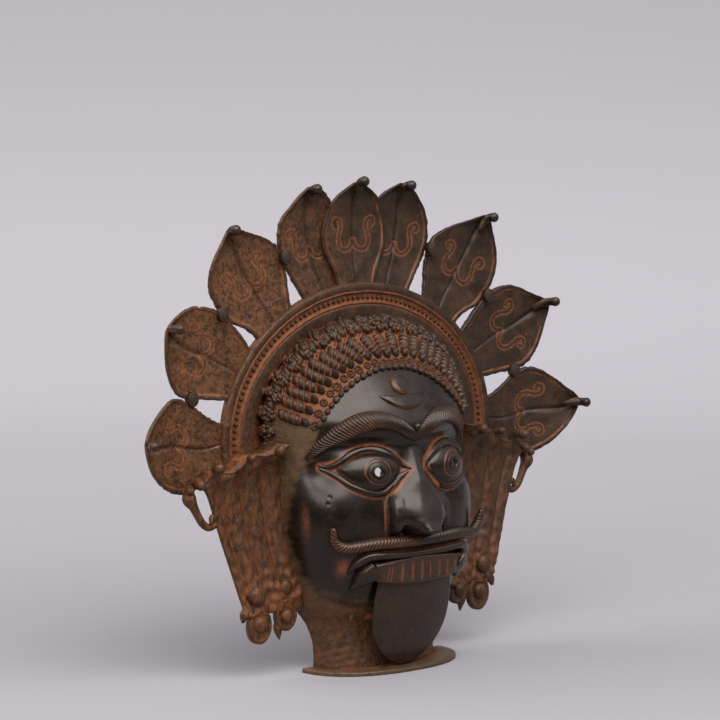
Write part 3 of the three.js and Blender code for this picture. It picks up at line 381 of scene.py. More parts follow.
class Face:
    """Front of the face and neck. A place on it is a distance along from the middle and a height."""

    STEP = 0.5
    SPAN = 190.0

    def __init__(self):
        self.z = np.arange(0, TOP + 0.1, self.STEP)
        self.s = np.arange(-self.SPAN, self.SPAN + 0.1, self.STEP)
        turn = np.linspace(0, np.pi / 2, 700)
        self.half = np.zeros(len(self.z))
        x = np.zeros((len(self.z), len(self.s)))
        y = np.zeros_like(x)
        for row, z in enumerate(self.z):
            w, d, n, back = (station(z, c) for c in (1, 2, 3, 4))
            rx = w * np.sin(turn) ** (2 / n)
            ry = back - (d + back) * np.cos(turn) ** (2 / n)
            run = np.concatenate([[0], np.cumsum(np.hypot(np.diff(rx), np.diff(ry)))])
            self.half[row] = run[-1]
            reach = np.abs(self.s)
            x[row] = np.sign(self.s) * np.interp(reach, run, rx)
            y[row] = np.interp(reach, run, ry) + np.maximum(reach - run[-1], 0)
        z = np.repeat(self.z[:, None], len(self.s), axis=1)
        plain = np.stack([x, y, z], axis=-1)
        formed = plain + self.normals(plain) * self.form(np.abs(self.s)[None, :], z)[..., None]
        formed[..., 1] = self.with_nose(formed)
        self.points = formed
        self.normal = self.normals(formed)

    @staticmethod
    def form(s, z):
        """How far cheeks, muzzle and eye mounds stand out, and the sockets lie back."""
        cheek = 3.5 * bell(s - 68, 28) * bell(z - 158, 26)
        muzzle = 3.0 * bell(s - 55, 30) * bell(z - 112, 16)
        eye = 6.0 * bell(s - 46, 24) * bell(z - 191, 15)
        socket = 5.5 * bell(s - 50, 36) * bell(z - 215, 8)
        brow = 3.0 * bell(s - 50, 45) * bell(z - 238, 9)
        temple = 3.0 * bell(s - 92, 14) * bell(z - 196, 18)
        jaw_height = np.interp(s, [p[1] for p in RUBBED[:8]], [p[0] for p in RUBBED[:8]])
        under_jaw = 3.5 * (1 - ramp(z - jaw_height, -6, 3)) * (1 - ramp(s, 85, 112))
        return cheek + muzzle + eye + brow - socket - temple - under_jaw

    @staticmethod
    def with_nose(p):
        """The y of the points, moved forward where the nose stands."""
        x, y, z = np.abs(p[..., 0]), p[..., 1], p[..., 2]
        rows = np.array(NOSE[::-1], float)
        row = hermite(rows[:, 1:], rows[:, 0], z)
        half = row[..., 0]
        # The section is mirrored a step past the middle and closed on the face, so that its curve is smooth
        at = np.array([-NOSE_ACROSS[1], *NOSE_ACROSS, 1])
        lift = np.concatenate([row[..., 2:3], row[..., 1:], np.zeros_like(row[..., :1])], axis=-1)
        slope = np.gradient(lift, at, axis=-1)
        k = np.clip(x / half, 0, 1)
        i = np.clip(np.searchsorted(at, k, side="right") - 1, 0, len(at) - 2)
        h = at[i + 1] - at[i]
        u = (k - at[i]) / h

        def take(values, j):
            return np.take_along_axis(values, j[..., None], -1)[..., 0]

        out = between(u, h, take(lift, i), take(slope, i), take(lift, i + 1), take(slope, i + 1))
        inside = (z > rows[0, 0]) & (z < rows[-1, 0]) & (x < half)
        return np.where(inside, y - np.maximum(out, 0), y)

    @staticmethod
    def normals(p):
        """Outward directions of the grid, from the points a few steps away on each side."""
        reach = 3
        across = np.empty_like(p)
        up = np.empty_like(p)
        across[:, reach:-reach] = p[:, 2 * reach:] - p[:, :-2 * reach]
        across[:, :reach] = across[:, reach:reach + 1]
        across[:, -reach:] = across[:, -reach - 1:-reach]
        up[reach:-reach] = p[2 * reach:] - p[:-2 * reach]
        up[:reach] = up[reach:reach + 1]
        up[-reach:] = up[-reach - 1:-reach]
        n = np.cross(across, up)
        return n / np.maximum(np.linalg.norm(n, axis=-1), 1e-9)[..., None]

    def at(self, s, z, out=0.0):
        """Points at the distance along, the height, and out from the surface."""
        s, z, out = np.broadcast_arrays(np.asarray(s, float), np.asarray(z, float), np.asarray(out, float))
        i = np.clip(z / self.STEP, 0, len(self.z) - 1.001)
        j = np.clip((s + self.SPAN) / self.STEP, 0, len(self.s) - 1.001)
        i0, j0 = i.astype(int), j.astype(int)
        u, v = (i - i0)[..., None], (j - j0)[..., None]

        def mix(grid):
            low = grid[i0, j0] * (1 - v) + grid[i0, j0 + 1] * v
            high = grid[i0 + 1, j0] * (1 - v) + grid[i0 + 1, j0 + 1] * v
            return low * (1 - u) + high * u

        n = mix(self.normal)
        n /= np.linalg.norm(n, axis=-1)[..., None]
        return mix(self.points) + n * out[..., None]

    def half_length(self, z):
        """Distance along from the middle to the back edge."""
        return np.interp(z, self.z, self.half)


face = Face()

# Point values that the finishes read: how shut in, engraved red, ochre film, rubbed
POINT_VALUES = ("cavity", "line", "ochre", "polish")


def cells(grid):
    """Quads of a grid of point numbers."""
    return np.stack([grid[:-1, :-1], grid[:-1, 1:], grid[1:, 1:], grid[1:, :-1]], axis=-1).reshape(-1, 4)


class Shape:
    """Points, faces and point values gathered for one piece, in millimetres from the arch plane."""

    def __init__(self):
        self.points, self.faces, self.values, self.count = [], [], {}, 0

    def add(self, points, faces, **values):
        """Takes in a closed body, turned the right way out."""
        points = np.asarray(points, float).reshape(-1, 3)
        faces = [np.asarray(f, int) for f in faces if len(f)]
        volume = 0.0
        for f in faces:
            for k in range(1, f.shape[1] - 1):
                a, b, c = points[f[:, 0]], points[f[:, k]], points[f[:, k + 1]]
                volume += np.einsum("ij,ij->", a, np.cross(b, c))
        if volume < 0:
            faces = [f[:, ::-1] for f in faces]
        self.points.append(points)
        self.faces += [f + self.count for f in faces]
        for name in set(self.values) | set(values):
            made = self.values.setdefault(name, np.zeros(self.count))
            new = np.broadcast_to(np.asarray(values.get(name, 0.0), float).reshape(-1), (len(points),))
            self.values[name] = np.concatenate([made, new])
        self.count += len(points)
        return self

    def loft(self, rings, **values):
        """Closed rings (m, n, 3) joined in order, with both ends filled round their middles."""
        m, n = rings.shape[:2]
        k = np.arange(n)
        i = np.arange(m - 1)[:, None] * n
        quads = np.stack([i + k, i + (k + 1) % n, i + n + (k + 1) % n, i + n + k], axis=-1).reshape(-1, 4)
        ends = np.concatenate([rings[0].mean(0)[None], rings[-1].mean(0)[None]])
        first = np.stack([np.full(n, m * n), (k + 1) % n, k], axis=-1)
        last = np.stack([np.full(n, m * n + 1), (m - 1) * n + k, (m - 1) * n + (k + 1) % n], axis=-1)
        spread = {}
        for name, v in values.items():
            v = np.broadcast_to(np.asarray(v, float), (m, n))
            spread[name] = np.concatenate([v.reshape(-1), [v[0].mean(), v[-1].mean()]])
        points = np.concatenate([rings.reshape(-1, 3), ends])
        return self.add(points, [quads, np.concatenate([first, last])], **spread)

    def plate(self, front, back, **values):
        """A front and a back grid (m, n, 3) joined round their edges."""
        m, n = front.shape[:2]
        grid = np.arange(m * n).reshape(m, n)
        rear = grid + m * n

        def wall(a, b):
            return np.stack([a[:-1], b[:-1], b[1:], a[1:]], axis=-1)

        quads = [cells(grid), cells(rear)[:, ::-1]]
        quads += [wall(grid[0], rear[0]), wall(grid[-1], rear[-1])[:, ::-1]]
        quads += [wall(grid[:, 0], rear[:, 0])[:, ::-1], wall(grid[:, -1], rear[:, -1])]
        spread = {}
        for name, v in values.items():
            v = np.broadcast_to(np.asarray(v, float), (m, n)).reshape(-1)
            spread[name] = np.concatenate([v, v * 0])
        points = np.concatenate([front.reshape(-1, 3), back.reshape(-1, 3)])
        return self.add(points, [np.concatenate(quads)], **spread)

    def build(self, name, material, replaces=(), polish=0.0):
        """Makes the piece; polish holds where no body gave its own."""
        points = (np.concatenate(self.points) + (0, ARCH_PLANE, 0)) * MM
        sizes = np.concatenate([np.full(len(f), f.shape[1]) for f in self.faces])
        corners = np.concatenate([f.reshape(-1) for f in self.faces])
        mesh = bpy.data.meshes.new(name)
        mesh.vertices.add(len(points))
        mesh.vertices.foreach_set("co", points.reshape(-1))
        mesh.loops.add(len(corners))
        mesh.loops.foreach_set("vertex_index", corners)
        mesh.polygons.add(len(sizes))
        mesh.polygons.foreach_set("loop_start", np.concatenate([[0], np.cumsum(sizes)[:-1]]))
        mesh.polygons.foreach_set("loop_total", sizes)
        mesh.update(calc_edges=True)
        mesh.validate()
        mesh.polygons.foreach_set("use_smooth", np.full(len(mesh.polygons), True))
        for value in POINT_VALUES:
            layer = mesh.attributes.new(value, "FLOAT", "POINT")
            plain = polish if value == "polish" else 0.0
            layer.data.foreach_set("value", self.values.get(value, np.full(len(points), plain)))
        mesh.materials.append(material)
        made = bpy.data.objects.new(name, mesh)
        bpy.context.scene.collection.objects.link(made)
        finish_piece(made, replaces)
        return made


def finish_piece(made, replaces=()):
    """Hangs the piece on the root body and hides the imported parts that it replaces."""
    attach(made, "root")
    if replaces:
        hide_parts(*replaces)


def ridge(shape, line, side=1, across=16, step=0.7, power=2.0, lean=0.0, relief=None, marks=None, sink=1.4):
    """A raised line on the face. relief and marks take (run, across), and lean moves the crest."""
    made, run = smooth_line(line, step)
    s, z, w, rise = made.T
    ds, dz = np.gradient(s), np.gradient(z)
    length = np.hypot(ds, dz)
    ns, nz = -dz / length, ds / length
    k = np.linspace(-1, 1, across)
    bent = np.where(k < lean, (k - lean) / (1 + lean), (k - lean) / (1 - lean))
    height = np.maximum(1 - np.abs(bent) ** power, 0) ** (1 / power)
    out = rise[:, None] * height[None]
    if relief:
        out = out + relief(run[:, None], k[None]) * np.minimum(height * 1.5, 1)
    red = marks(run[:, None], k[None]) + 0 * out if marks else 0 * out
    red = np.concatenate([red[:, :1], red, red[:, -1:]], axis=1)
    k = np.concatenate([[-1], k, [1]])
    foot = np.full((len(s), 1), -sink)
    out = np.concatenate([foot, out, foot], axis=1)
    along, up = (v[:, None] + n[:, None] * w[:, None] * k for v, n in ((s, ns), (z, nz)))
    return shape.loft(face.at(side * along, up, out), line=np.clip(red, 0, 1))


def bar(shape, path, around=14, step=0.8, relief=None, marks=None, ochre_top=False):
    """A round bar through (x, y, z, radius), with rounded ends."""
    made, run = smooth_line(path, step, across=3)
    centre, radius = made[:, :3], np.maximum(made[:, 3], 0.3)
    along = np.gradient(centre, axis=0)
    along /= np.linalg.norm(along, axis=1)[:, None]
    swell = [(0.4, 0.866), (0.7, 0.5), (0.78, 0.2)]
    first = [(centre[0] - along[0] * radius[0] * a, radius[0] * b, along[0]) for a, b in reversed(swell)]
    last = [(centre[-1] + along[-1] * radius[-1] * a, radius[-1] * b, along[-1]) for a, b in swell]
    centre = np.array([c for c, _, _ in first] + list(centre) + [c for c, _, _ in last])
    radius = np.array([r for _, r, _ in first] + list(radius) + [r for _, r, _ in last])
    along = np.array([t for _, _, t in first] + list(along) + [t for _, _, t in last])
    run = np.concatenate([[0] * 3, run, [run[-1]] * 3])
    normal = np.array([0, 0, 1.0]) if abs(along[0, 2]) < 0.8 else np.array([0, 1.0, 0])
    turn = np.linspace(0, 2 * np.pi, around, endpoint=False)
    rings = np.empty((len(centre), around, 3))
    for i, t in enumerate(along):
        normal = normal - t * (normal @ t)
        normal /= np.linalg.norm(normal)
        other = np.cross(t, normal)
        r = radius[i] * (1 + (relief(run[i], turn) if relief else 0))
        rings[i] = centre[i] + (np.cos(turn) * r)[:, None] * normal + (np.sin(turn) * r)[:, None] * other
    values = {}
    if marks:
        values["line"] = marks(run[:, None], turn[None])
    if ochre_top:
        neck = bell(run / run[-1] - 0.3, 0.22)[:, None]
        values["ochre"] = 0.5 * ramp(np.cos(turn), -0.2, 0.9)[None] * neck
        values["polish"] = 0.75 * ramp(run / run[-1], 0.35, 0.6)[:, None] + 0 * turn
    return shape.loft(rings, **values)


def face_bar(shape, line, side, **options):
    """A bar that follows the face: (along, height, out, radius)."""
    line = np.array(line, float)
    centre = face.at(side * line[:, 0], line[:, 1], line[:, 2])
    return bar(shape, np.column_stack([centre, line[:, 3]]), **options)


def dome(shape, place, rise, power=2.0, rings=7, around=20, relief=None, sink=2.0, edge_line=0.0):
    """A round boss. place(across, up, out) puts a point of its unit disc."""
    rho = np.sin(np.linspace(np.pi / 2, 0.08, rings))
    turn = np.linspace(0, 2 * np.pi, around, endpoint=False)
    height = rise * np.maximum(1 - rho**power, 0) ** (1 / power)
    out = np.repeat(height[:, None], around, axis=1)
    if relief:
        out = out + relief(rho[:, None], turn[None])
    rho = np.concatenate([[1], rho])
    out = np.concatenate([np.full((1, around), -sink), out])
    points = place(rho[:, None] * np.cos(turn), rho[:, None] * np.sin(turn), out)
    return shape.loft(points, line=edge_line * bell(rho - 1, 0.12)[:, None])


def on_face(s, z, rs, rz):
    """Place of a dome on the face."""
    return lambda a, b, out: face.at(s + rs * a, z + rz * b, out)


def on_plane(x, y, z, rx, rz):
    """Place of a dome that looks straight forward."""
    def place(a, b, out):
        a, b, out = np.broadcast_arrays(a, b, out)
        return np.stack([x + rx * a, y - out, z + rz * b], axis=-1)
    return place


def mirrored(points, side):
    return [(side * p[0], *p[1:]) for p in points]


# Finishes

class NodeDesk:
    """Adds nodes to one tree. An input, by name or number, takes a value or another node's output."""

    def __init__(self, tree):
        self.tree = tree

    def feed(self, node, inputs):
        for name, value in inputs.items():
            if isinstance(value, bpy.types.NodeSocket):
                self.tree.links.new(value, node.inputs[name])
            else:
                node.inputs[name].default_value = value

    def add(self, kind, inputs=None, **settings):
        node = self.tree.nodes.new(kind)
        for name, value in settings.items():
            setattr(node, name, value)
        self.feed(node, inputs or {})
        return node

    def math(self, operation, a, b, clamp=False):
        return self.add("ShaderNodeMath", {0: a, 1: b}, operation=operation, use_clamp=clamp).outputs[0]

    def times(self, a, b):
        return self.math("MULTIPLY", a, b)

    def plus(self, a, b, clamp=False):
        return self.math("ADD", a, b, clamp)

    def minus(self, a, b):
        return self.math("SUBTRACT", a, b)

    def weigh(self, a, share, b, other_share):
        return self.plus(self.times(a, share), self.times(b, other_share))

    def vector(self, operation, inputs, output="Vector"):
        return self.add("ShaderNodeVectorMath", inputs, operation=operation).outputs[output]

    def noise(self, where, scale, detail, rough):
        inputs = {"Vector": where, "Scale": scale, "Detail": detail, "Roughness": rough}
        return self.add("ShaderNodeTexNoise", inputs).outputs["Fac"]

    def span(self, value, low, high, to_low=0.0, to_high=1.0):
        inputs = {"Value": value, "From Min": low, "From Max": high, "To Min": to_low, "To Max": to_high}
        return self.add("ShaderNodeMapRange", inputs, interpolation_type="SMOOTHSTEP").outputs["Result"]

    def blend(self, factor, a, b):
        inputs = {0: factor, 6: a, 7: b}
        return self.add("ShaderNodeMix", inputs, data_type="RGBA", clamp_factor=True).outputs[2]

    def attribute(self, name):
        return self.add("ShaderNodeAttribute", attribute_name=name).outputs["Fac"]

    def place(self):
        return self.add("ShaderNodeTexCoord").outputs["Object"]


def rgba(colour, share=1.0):
    return (*(c * share for c in colour), 1.0)


def bronze(name, patina, rubbed, settle=(0.36, 0.8), film=0.45, left_painted_light=0.0, green=0.35, kept_clean=0.16,
           stretch=1.0):
    """Bronze by its polish value: patina with earth and red deposits, or rubbed dark and glossy.

    Shut in places fill with red earth over the span settle, and polish keeps them clean by kept_clean.
    film is the thin earth on flat places, and the left share lays on more of it towards the left as painted
    light from the left side. green is the verdigris, and a stretch under 1 draws the pattern out downwards.
    """
    dark, warm, earth, deposit = patina
    material = bpy.data.materials.new(name)
    material.use_nodes = True
    desk = NodeDesk(material.node_tree)
    shader = material.node_tree.nodes["Principled BSDF"]
    where = desk.place()
    drawn = desk.vector("MULTIPLY", {0: where, 1: (1, 1, stretch)})
    clouds, patches = desk.noise(drawn, *CLOUDS), desk.noise(drawn, *PATCHES)
    specks, grain = desk.noise(where, *SPECKS), desk.noise(where, *GRAIN)
    cloudy = desk.weigh(clouds, 0.6, patches, 0.4)
    polish = desk.attribute("polish")

    # Patina: two browns in clouds, thin earth in patches, dark specks and verdigris, and the rubbed metal
    side = desk.add("ShaderNodeSeparateXYZ", {0: where}).outputs["X"]
    # Thin earth film over flat places, and more of it towards the left as painted light from the left side
    film_and_left_light = desk.plus(desk.span(side, 0.04, -0.18, 0.0, left_painted_light), film, clamp=True)
    earthy = desk.times(desk.span(patches, 0.4, 0.58), film_and_left_light)
    verdigris = desk.span(desk.noise(where, *VERDIGRIS_SPOTS), 0.62, 0.72, 0.0, green)
    colour = desk.blend(desk.span(cloudy, 0.42, 0.6), rgba(dark), rgba(warm))
    colour = desk.blend(earthy, colour, rgba(earth))
    colour = desk.blend(desk.span(specks, 0.3, 0.75, 0.0, 0.4), colour, rgba(dark, 0.45))
    colour = desk.blend(verdigris, colour, rgba(VERDIGRIS))
    shine = desk.blend(desk.span(cloudy, 0.42, 0.62), rgba(rubbed, 0.5), rgba(warm, 0.2))
    colour = desk.blend(polish, colour, shine)

    # Red earth in the hollows and the engraved lines, and the ochre film over all
    uneven = desk.times(desk.minus(patches, 0.5), 0.9)
    shut = desk.minus(desk.plus(desk.attribute("cavity"), uneven), desk.times(polish, kept_clean))
    engraved = desk.times(desk.attribute("line"), desk.span(patches, 0.36, 0.56, 0.35, 1.0))
    red = desk.math("MAXIMUM", desk.span(shut, *settle), engraved, True)
    speckled = desk.blend(desk.span(specks, 0.35, 0.65), rgba(deposit, 0.55), rgba(deposit))
    colour = desk.blend(red, colour, speckled)
    ochre = desk.times(desk.attribute("ochre"), desk.span(specks, 0.35, 0.6, 0.4, 1.0))
    colour = desk.blend(ochre, colour, rgba(OCHRE))

    dull = desk.span(desk.weigh(clouds, 0.5, specks, 0.5), 0.35, 0.65, 0.45, 0.65)
    glossy = desk.span(cloudy, 0.35, 0.65, 0.2, 0.34)
    roughness = desk.plus(desk.times(dull, desk.minus(1.0, polish)), desk.times(glossy, polish))
    strength, height = desk.span(polish, 0.0, 1.0, 0.3, 0.04), desk.weigh(specks, 0.6, grain, 0.4)
    bump = desk.add("ShaderNodeBump", {"Strength": strength, "Distance": 0.0008, "Height": height})
    desk.feed(shader, {
        "Base Color": colour, "Roughness": desk.plus(roughness, desk.times(red, 0.35), clamp=True),
        "Metallic": desk.span(polish, 0.0, 1.0, 0.3, 0.0), "Normal": bump.outputs["Normal"],
        "Specular IOR Level": 0.42, "Specular Tint": (1.0, 0.88, 0.79, 1.0),
    })
    return material


def finish(kind):
    """The finish of that name, made once."""
    name = "bronze_" + kind
    if name in bpy.data.materials:
        return bpy.data.materials[name]
    c = bpy.context.scene.mask_colours
    dark, warm, earth, deposit, rubbed = (tuple(v) for v in (c.dark, c.warm, c.earth, c.deposit, c.rubbed))

    def shade(colour, *shares):
        return [c * share for c, share in zip(colour, shares * (3 // len(shares)))]

    plain = (dark, warm, earth, deposit)
    hair = (shade(dark, 0.6), shade(warm, 0.8), GREY_EARTH, deposit)
    panel = (shade(dark, 0.65), shade(warm, 0.75), shade(earth, 1.0, 0.86, 0.68), deposit)
    crown = (shade(dark, 0.65), shade(warm, 0.75), shade(earth, 1.1), deposit)
    patina, settings = {
        "face": (plain, dict(settle=(0.4, 0.85), film=0.5, kept_clean=0.95)),
        "feature": (plain, dict(settle=(0.34, 0.8))),
        "tongue": (plain, dict(settle=(0.7, 1.0))),
        "beads": ((dark, dark, warm, deposit), dict(settle=(0.5, 0.95), film=0.3)),
        "hair": (hair, dict(settle=(0.36, 0.72), green=0.6)),
        # The shares for the left below are painted light from the left side, laid on as more earth film there
        "panel": (panel, dict(settle=(0.36, 0.85), film=0.4, left_painted_light=0.5, stretch=0.4)),
        "arch": (crown, dict(film=0.05, left_painted_light=0.4)),
        "crown": (crown, dict(film=0.05, left_painted_light=1.2)),
    }[kind]
    return bronze(name, patina, rubbed, **settings)


# Geometry Nodes rows

def bead_tree(name, ring_beads):
    """Beads or rosettes on every point of a mesh, each turned to the point's outward direction."""
    tree = bpy.data.node_groups.new(name, "GeometryNodeTree")
    for label, way, kind in (
        ("Geometry", "INPUT", "Geometry"), ("Bead radius", "INPUT", "Float"),
        ("Stretch", "INPUT", "Vector"), ("Ring radius", "INPUT", "Float"),
        ("Finish", "INPUT", "Material"), ("Geometry", "OUTPUT", "Geometry"),
    ):
        tree.interface.new_socket(label, in_out=way, socket_type="NodeSocket" + kind)
    desk = NodeDesk(tree)
    given = desk.add("NodeGroupInput").outputs
    ball = desk.add("GeometryNodeMeshIcoSphere", {"Subdivisions": 2, "Radius": given["Bead radius"]})
    bead = ball.outputs["Mesh"]
    if ring_beads:
        ring = desk.add("GeometryNodeMeshCircle", {"Vertices": ring_beads, "Radius": given["Ring radius"]})
        petals = desk.add(
            "GeometryNodeInstanceOnPoints", {"Points": ring.outputs["Mesh"], "Instance": bead})
        rosette = desk.add("GeometryNodeJoinGeometry", {"Geometry": petals.outputs["Instances"]})
        desk.feed(rosette, {"Geometry": bead})
        flat = desk.add("GeometryNodeRealizeInstances", {"Geometry": rosette.outputs["Geometry"]})
        bead = flat.outputs["Geometry"]

    def direction(attribute):
        node = desk.add("GeometryNodeInputNamedAttribute", {"Name": attribute}, data_type="FLOAT_VECTOR")
        return node.outputs["Attribute"]

    upright = desk.add("FunctionNodeAlignRotationToVector", {"Vector": direction("outward")}, axis="Z")
    lined_up = desk.add(
        "FunctionNodeAlignRotationToVector",
        {"Rotation": upright.outputs["Rotation"], "Vector": direction("run")}, axis="X", pivot_axis="Z")
    uneven = desk.add("FunctionNodeRandomValue", {2: 0.88, 3: 1.1, "Seed": 7}, data_type="FLOAT")
    size = desk.vector("SCALE", {0: given["Stretch"], "Scale": uneven.outputs[1]})
    row = desk.add("GeometryNodeInstanceOnPoints", {
        "Points": given["Geometry"], "Instance": bead,
        "Rotation": lined_up.outputs["Rotation"], "Scale": size})
    real = desk.add("GeometryNodeRealizeInstances", {"Geometry": row.outputs["Instances"]})
    smooth = desk.add("GeometryNodeSetShadeSmooth", {"Geometry": real.outputs["Geometry"]})
    dress = desk.add("GeometryNodeSetMaterial", {
        "Geometry": smooth.outputs["Geometry"], "Material": given["Finish"]})
    desk.add("NodeGroupOutput", {"Geometry": dress.outputs["Geometry"]})
    return tree


def bead_row(name, points, outward, run, radius, stretch, material, ring_radius=0.0, ring_beads=0):
    """A row of beads or rosettes at the points, made by Geometry Nodes and turned into a plain mesh."""
    mesh = bpy.data.meshes.new(name + "_points")
    mesh.from_pydata(((points + (0, ARCH_PLANE, 0)) * MM).tolist(), [], [])
    for label, values in (("outward", outward), ("run", run)):
        layer = mesh.attributes.new(label, "FLOAT_VECTOR", "POINT")
        layer.data.foreach_set("vector", np.ascontiguousarray(values, float).reshape(-1))
    carrier = bpy.data.objects.new(name + "_points", mesh)
    bpy.context.scene.collection.objects.link(carrier)
    modifier = carrier.modifiers.new("beads", "NODES")
    modifier.node_group = bead_tree(name, ring_beads)
    sockets = modifier.node_group.interface.items_tree
    sockets = {socket.name: socket.identifier for socket in sockets if socket.in_out == "INPUT"}
    for label, value in (
        ("Bead radius", radius * MM), ("Stretch", stretch),
        ("Ring radius", ring_radius * MM), ("Finish", material),
    ):
        modifier[sockets[label]] = value
    evaluated = carrier.evaluated_get(bpy.context.evaluated_depsgraph_get())
    beads = bpy.data.meshes.new_from_object(evaluated)
    carrier.modifiers.remove(modifier)
    bpy.data.objects.remove(carrier)
    for value in POINT_VALUES:
        beads.attributes.new(value, "FLOAT", "POINT")
    made = bpy.data.objects.new(name, beads)
    bpy.context.scene.collection.objects.link(made)
    finish_piece(made)
    return made


def spots_on_face(s, z, out):
    """Points on the face with their outward directions and the directions of the row."""
    points = face.at(s, z, out)
    return points, face.at(s, z, out + 1) - points, np.gradient(points, axis=0)


def face_row(line, spacing, out):
    """An even row along a line on both sides of the face."""
    made, run = smooth_line(line, 0.5)
    count = int(run[-1] / spacing)
    t = (np.arange(count) + 0.5) * run[-1] / count
    s, z = (np.interp(t, run, made[:, k]) for k in (0, 1))
    s, z = np.concatenate([-s[::-1], s]), np.concatenate([z[::-1], z])
    return spots_on_face(s, z, out)


# Pieces

def rubbed_share(s, z, ragged):
    """How rubbed the shell is, from the patina to the dark face, with a ragged edge below the brows."""
    edge = np.interp(z, [p[0] for p in RUBBED], [p[1] for p in RUBBED], left=-10, right=-10)
    soft = 1.5 + 7.0 * (1 - ramp(z, 200, 232))
    outline, _ = smooth_line([(b, a) for a, b in RUBBED], 2.0)
    from_edge = np.hypot(np.abs(s)[..., None] - outline[:, 0], z[..., None] - outline[:, 1]).min(axis=-1)
    from_edge *= np.where(np.abs(s) < edge, 1, -1)
    return ramp((from_edge + 2.5 * ragged * (soft > 3)) / soft, -1, 1)


def shell_earth(s, z, x, rubbed, hair):
    """Red earth on the shell: under the hair, beside the nose, round the lids, and in stains below."""
    crease = bell(np.abs(x) - 37.0, 0.8) * ramp(z, 131, 137) * (1 - ramp(z, 162, 170))
    mouth_corner = bell(np.abs(s) - 77, 6) * bell(z - 104, 8)
    cheek = bell(np.abs(s) - 114, 3.5) * bell(z - 146, 14)
    stains = np.maximum(0.6 * mouth_corner, 0.35 * cheek) + 0.07 * (1 - rubbed) * (1 - ramp(z, 60, 84))
    around_lids = np.zeros_like(z)
    for lid in (LID_UPPER, LID_LOWER):
        path, _ = smooth_line(lid, 1.0)
        gap = np.hypot(np.abs(s)[..., None] - path[:, 0], z[..., None] - path[:, 1]) - path[:, 2]
        around_lids = np.maximum(around_lids, bell(gap.min(axis=-1) - 0.7, 1.1))
    return np.max([0.45 * hair, 0.55 * crease, 0.65 * around_lids, stains], axis=0)


def stitch(fine, coarse, flip):
    """Triangles between an edge of the outer wall and the same edge of the inner one."""
    made = []
    for k, (a, b) in enumerate(zip(coarse[:-1], coarse[1:])):
        first, half_way, last = k * INNER_RATIO, k * INNER_RATIO + INNER_RATIO // 2, (k + 1) * INNER_RATIO
        made += [(a, fine[i + 1], fine[i]) for i in range(first, half_way)]
        made += [(a, b, fine[half_way])]
        made += [(b, fine[i + 1], fine[i]) for i in range(half_way, last)]
    return [t[::-1] for t in made] if flip else made


def make_shell():
    """The polished face and the rough neck, open at the back and the foot."""
    rows = np.concatenate([
        np.linspace(0, 60, 40, endpoint=False), np.linspace(60, 127, 50, endpoint=False),
        np.linspace(127, 135, 22, endpoint=False), np.linspace(135, 245, 96, endpoint=False),
        np.linspace(245, TOP, 62),
    ])
    rows = rows[: (len(rows) - 1) // INNER_RATIO * INNER_RATIO + 1]
    rows[-1] = TOP
    columns = np.linspace(-1, 1, INNER_COLUMNS * INNER_RATIO + 1)
    reach = face.half_length(rows)[:, None] + ramp(rows, 84, 94)[:, None] * 3.0
    s, z = reach * columns[None], np.repeat(rows[:, None], len(columns), axis=1)
    rough, grain = Ripple(3, 9), Ripple(4, 3.2)
    plain = face.at(s, z)
    neck = 1 - ramp(z, 52, 80) * (1 - ramp(np.abs(s), 0.72 * reach, 0.95 * reach))
    lift = (rough(plain) * 0.35 + grain(plain) * 0.2) * neck
    for pit_s, pit_z, pit_radius in PITS:
        lift -= 1.6 * bell(np.hypot(s - pit_s, z - pit_z), pit_radius)
    outer = face.at(s, z, lift)
    w = station(z, 1) - WALL
    back = station(z, 4)
    d = station(z, 2) + back - WALL - 4.0 * bell(z - 216, 14)
    e = 2 / station(z, 3)
    turn = columns[None] * np.pi / 2
    inner = np.stack([
        np.maximum(w, 1) * np.sign(turn) * np.abs(np.sin(turn)) ** e,
        back - np.maximum(d, 1) * np.cos(turn) ** e + ramp(z, 84, 94) * 3 * (np.abs(columns[None]) > 0.999),
        z - ramp(z, 240, TOP) * WALL,
    ], axis=-1)[::INNER_RATIO, ::INNER_RATIO]
    closed_top = (0.05, 0.3, 1)
    outer[-1] = outer[-1] * closed_top
    inner[-1] = inner[-1] * closed_top
    points = np.concatenate([outer.reshape(-1, 3), inner.reshape(-1, 3)])
    grid = np.arange(s.size).reshape(s.shape)
    back_grid = np.arange(s.size, len(points)).reshape(inner.shape[:2])

    def clear_of_pupil(faces, radius, depth):
        middle, inward = pupil_axis()
        hole = middle + inward * depth
        gap = points[faces].mean(axis=1)
        gap = np.hypot(np.abs(gap[:, 0]) - hole[0], gap[:, 2] - hole[2])
        return faces[gap > radius]

    quads = [clear_of_pupil(cells(grid), *OUTER_GAP), clear_of_pupil(cells(back_grid.T), *INNER_GAP)]
    seams = stitch(grid[0], back_grid[0], False) + stitch(grid[-1], back_grid[-1], True)
    seams += stitch(grid[:, 0], back_grid[:, 0], True) + stitch(grid[:, -1], back_grid[:, -1], False)

    rubbed = rubbed_share(s, z, rough(outer))
    hairline = np.interp(np.abs(s), [p[0] for p in HAIRLINE], [p[1] for p in HAIRLINE], right=239)
    hair = ramp(z - hairline, -1, 2)
    temple = (1 - rubbed) * ramp(z, 60, 90) * (1 - hair)
    earth = shell_earth(s, z, outer[..., 0], rubbed, hair)
    on_outer = {"polish": rubbed, "line": earth, "ochre": 0.35 * temple}
    on_inner = np.zeros(back_grid.size)
    values = {name: np.concatenate([v.reshape(-1), on_inner]) for name, v in on_outer.items()}
    shape = Shape()
    shape.add(points, [np.concatenate(quads), np.array(seams)], **values)
    return shape.build("face_shell", finish("face"), replaces=("mask",))


def pupil_axis():
    """Middle of the drilled pupil on the surface of the face at the right, and its direction inwards."""
    middle = face.at(*PUPIL)
    return middle, middle - face.at(*PUPIL, 1.0)


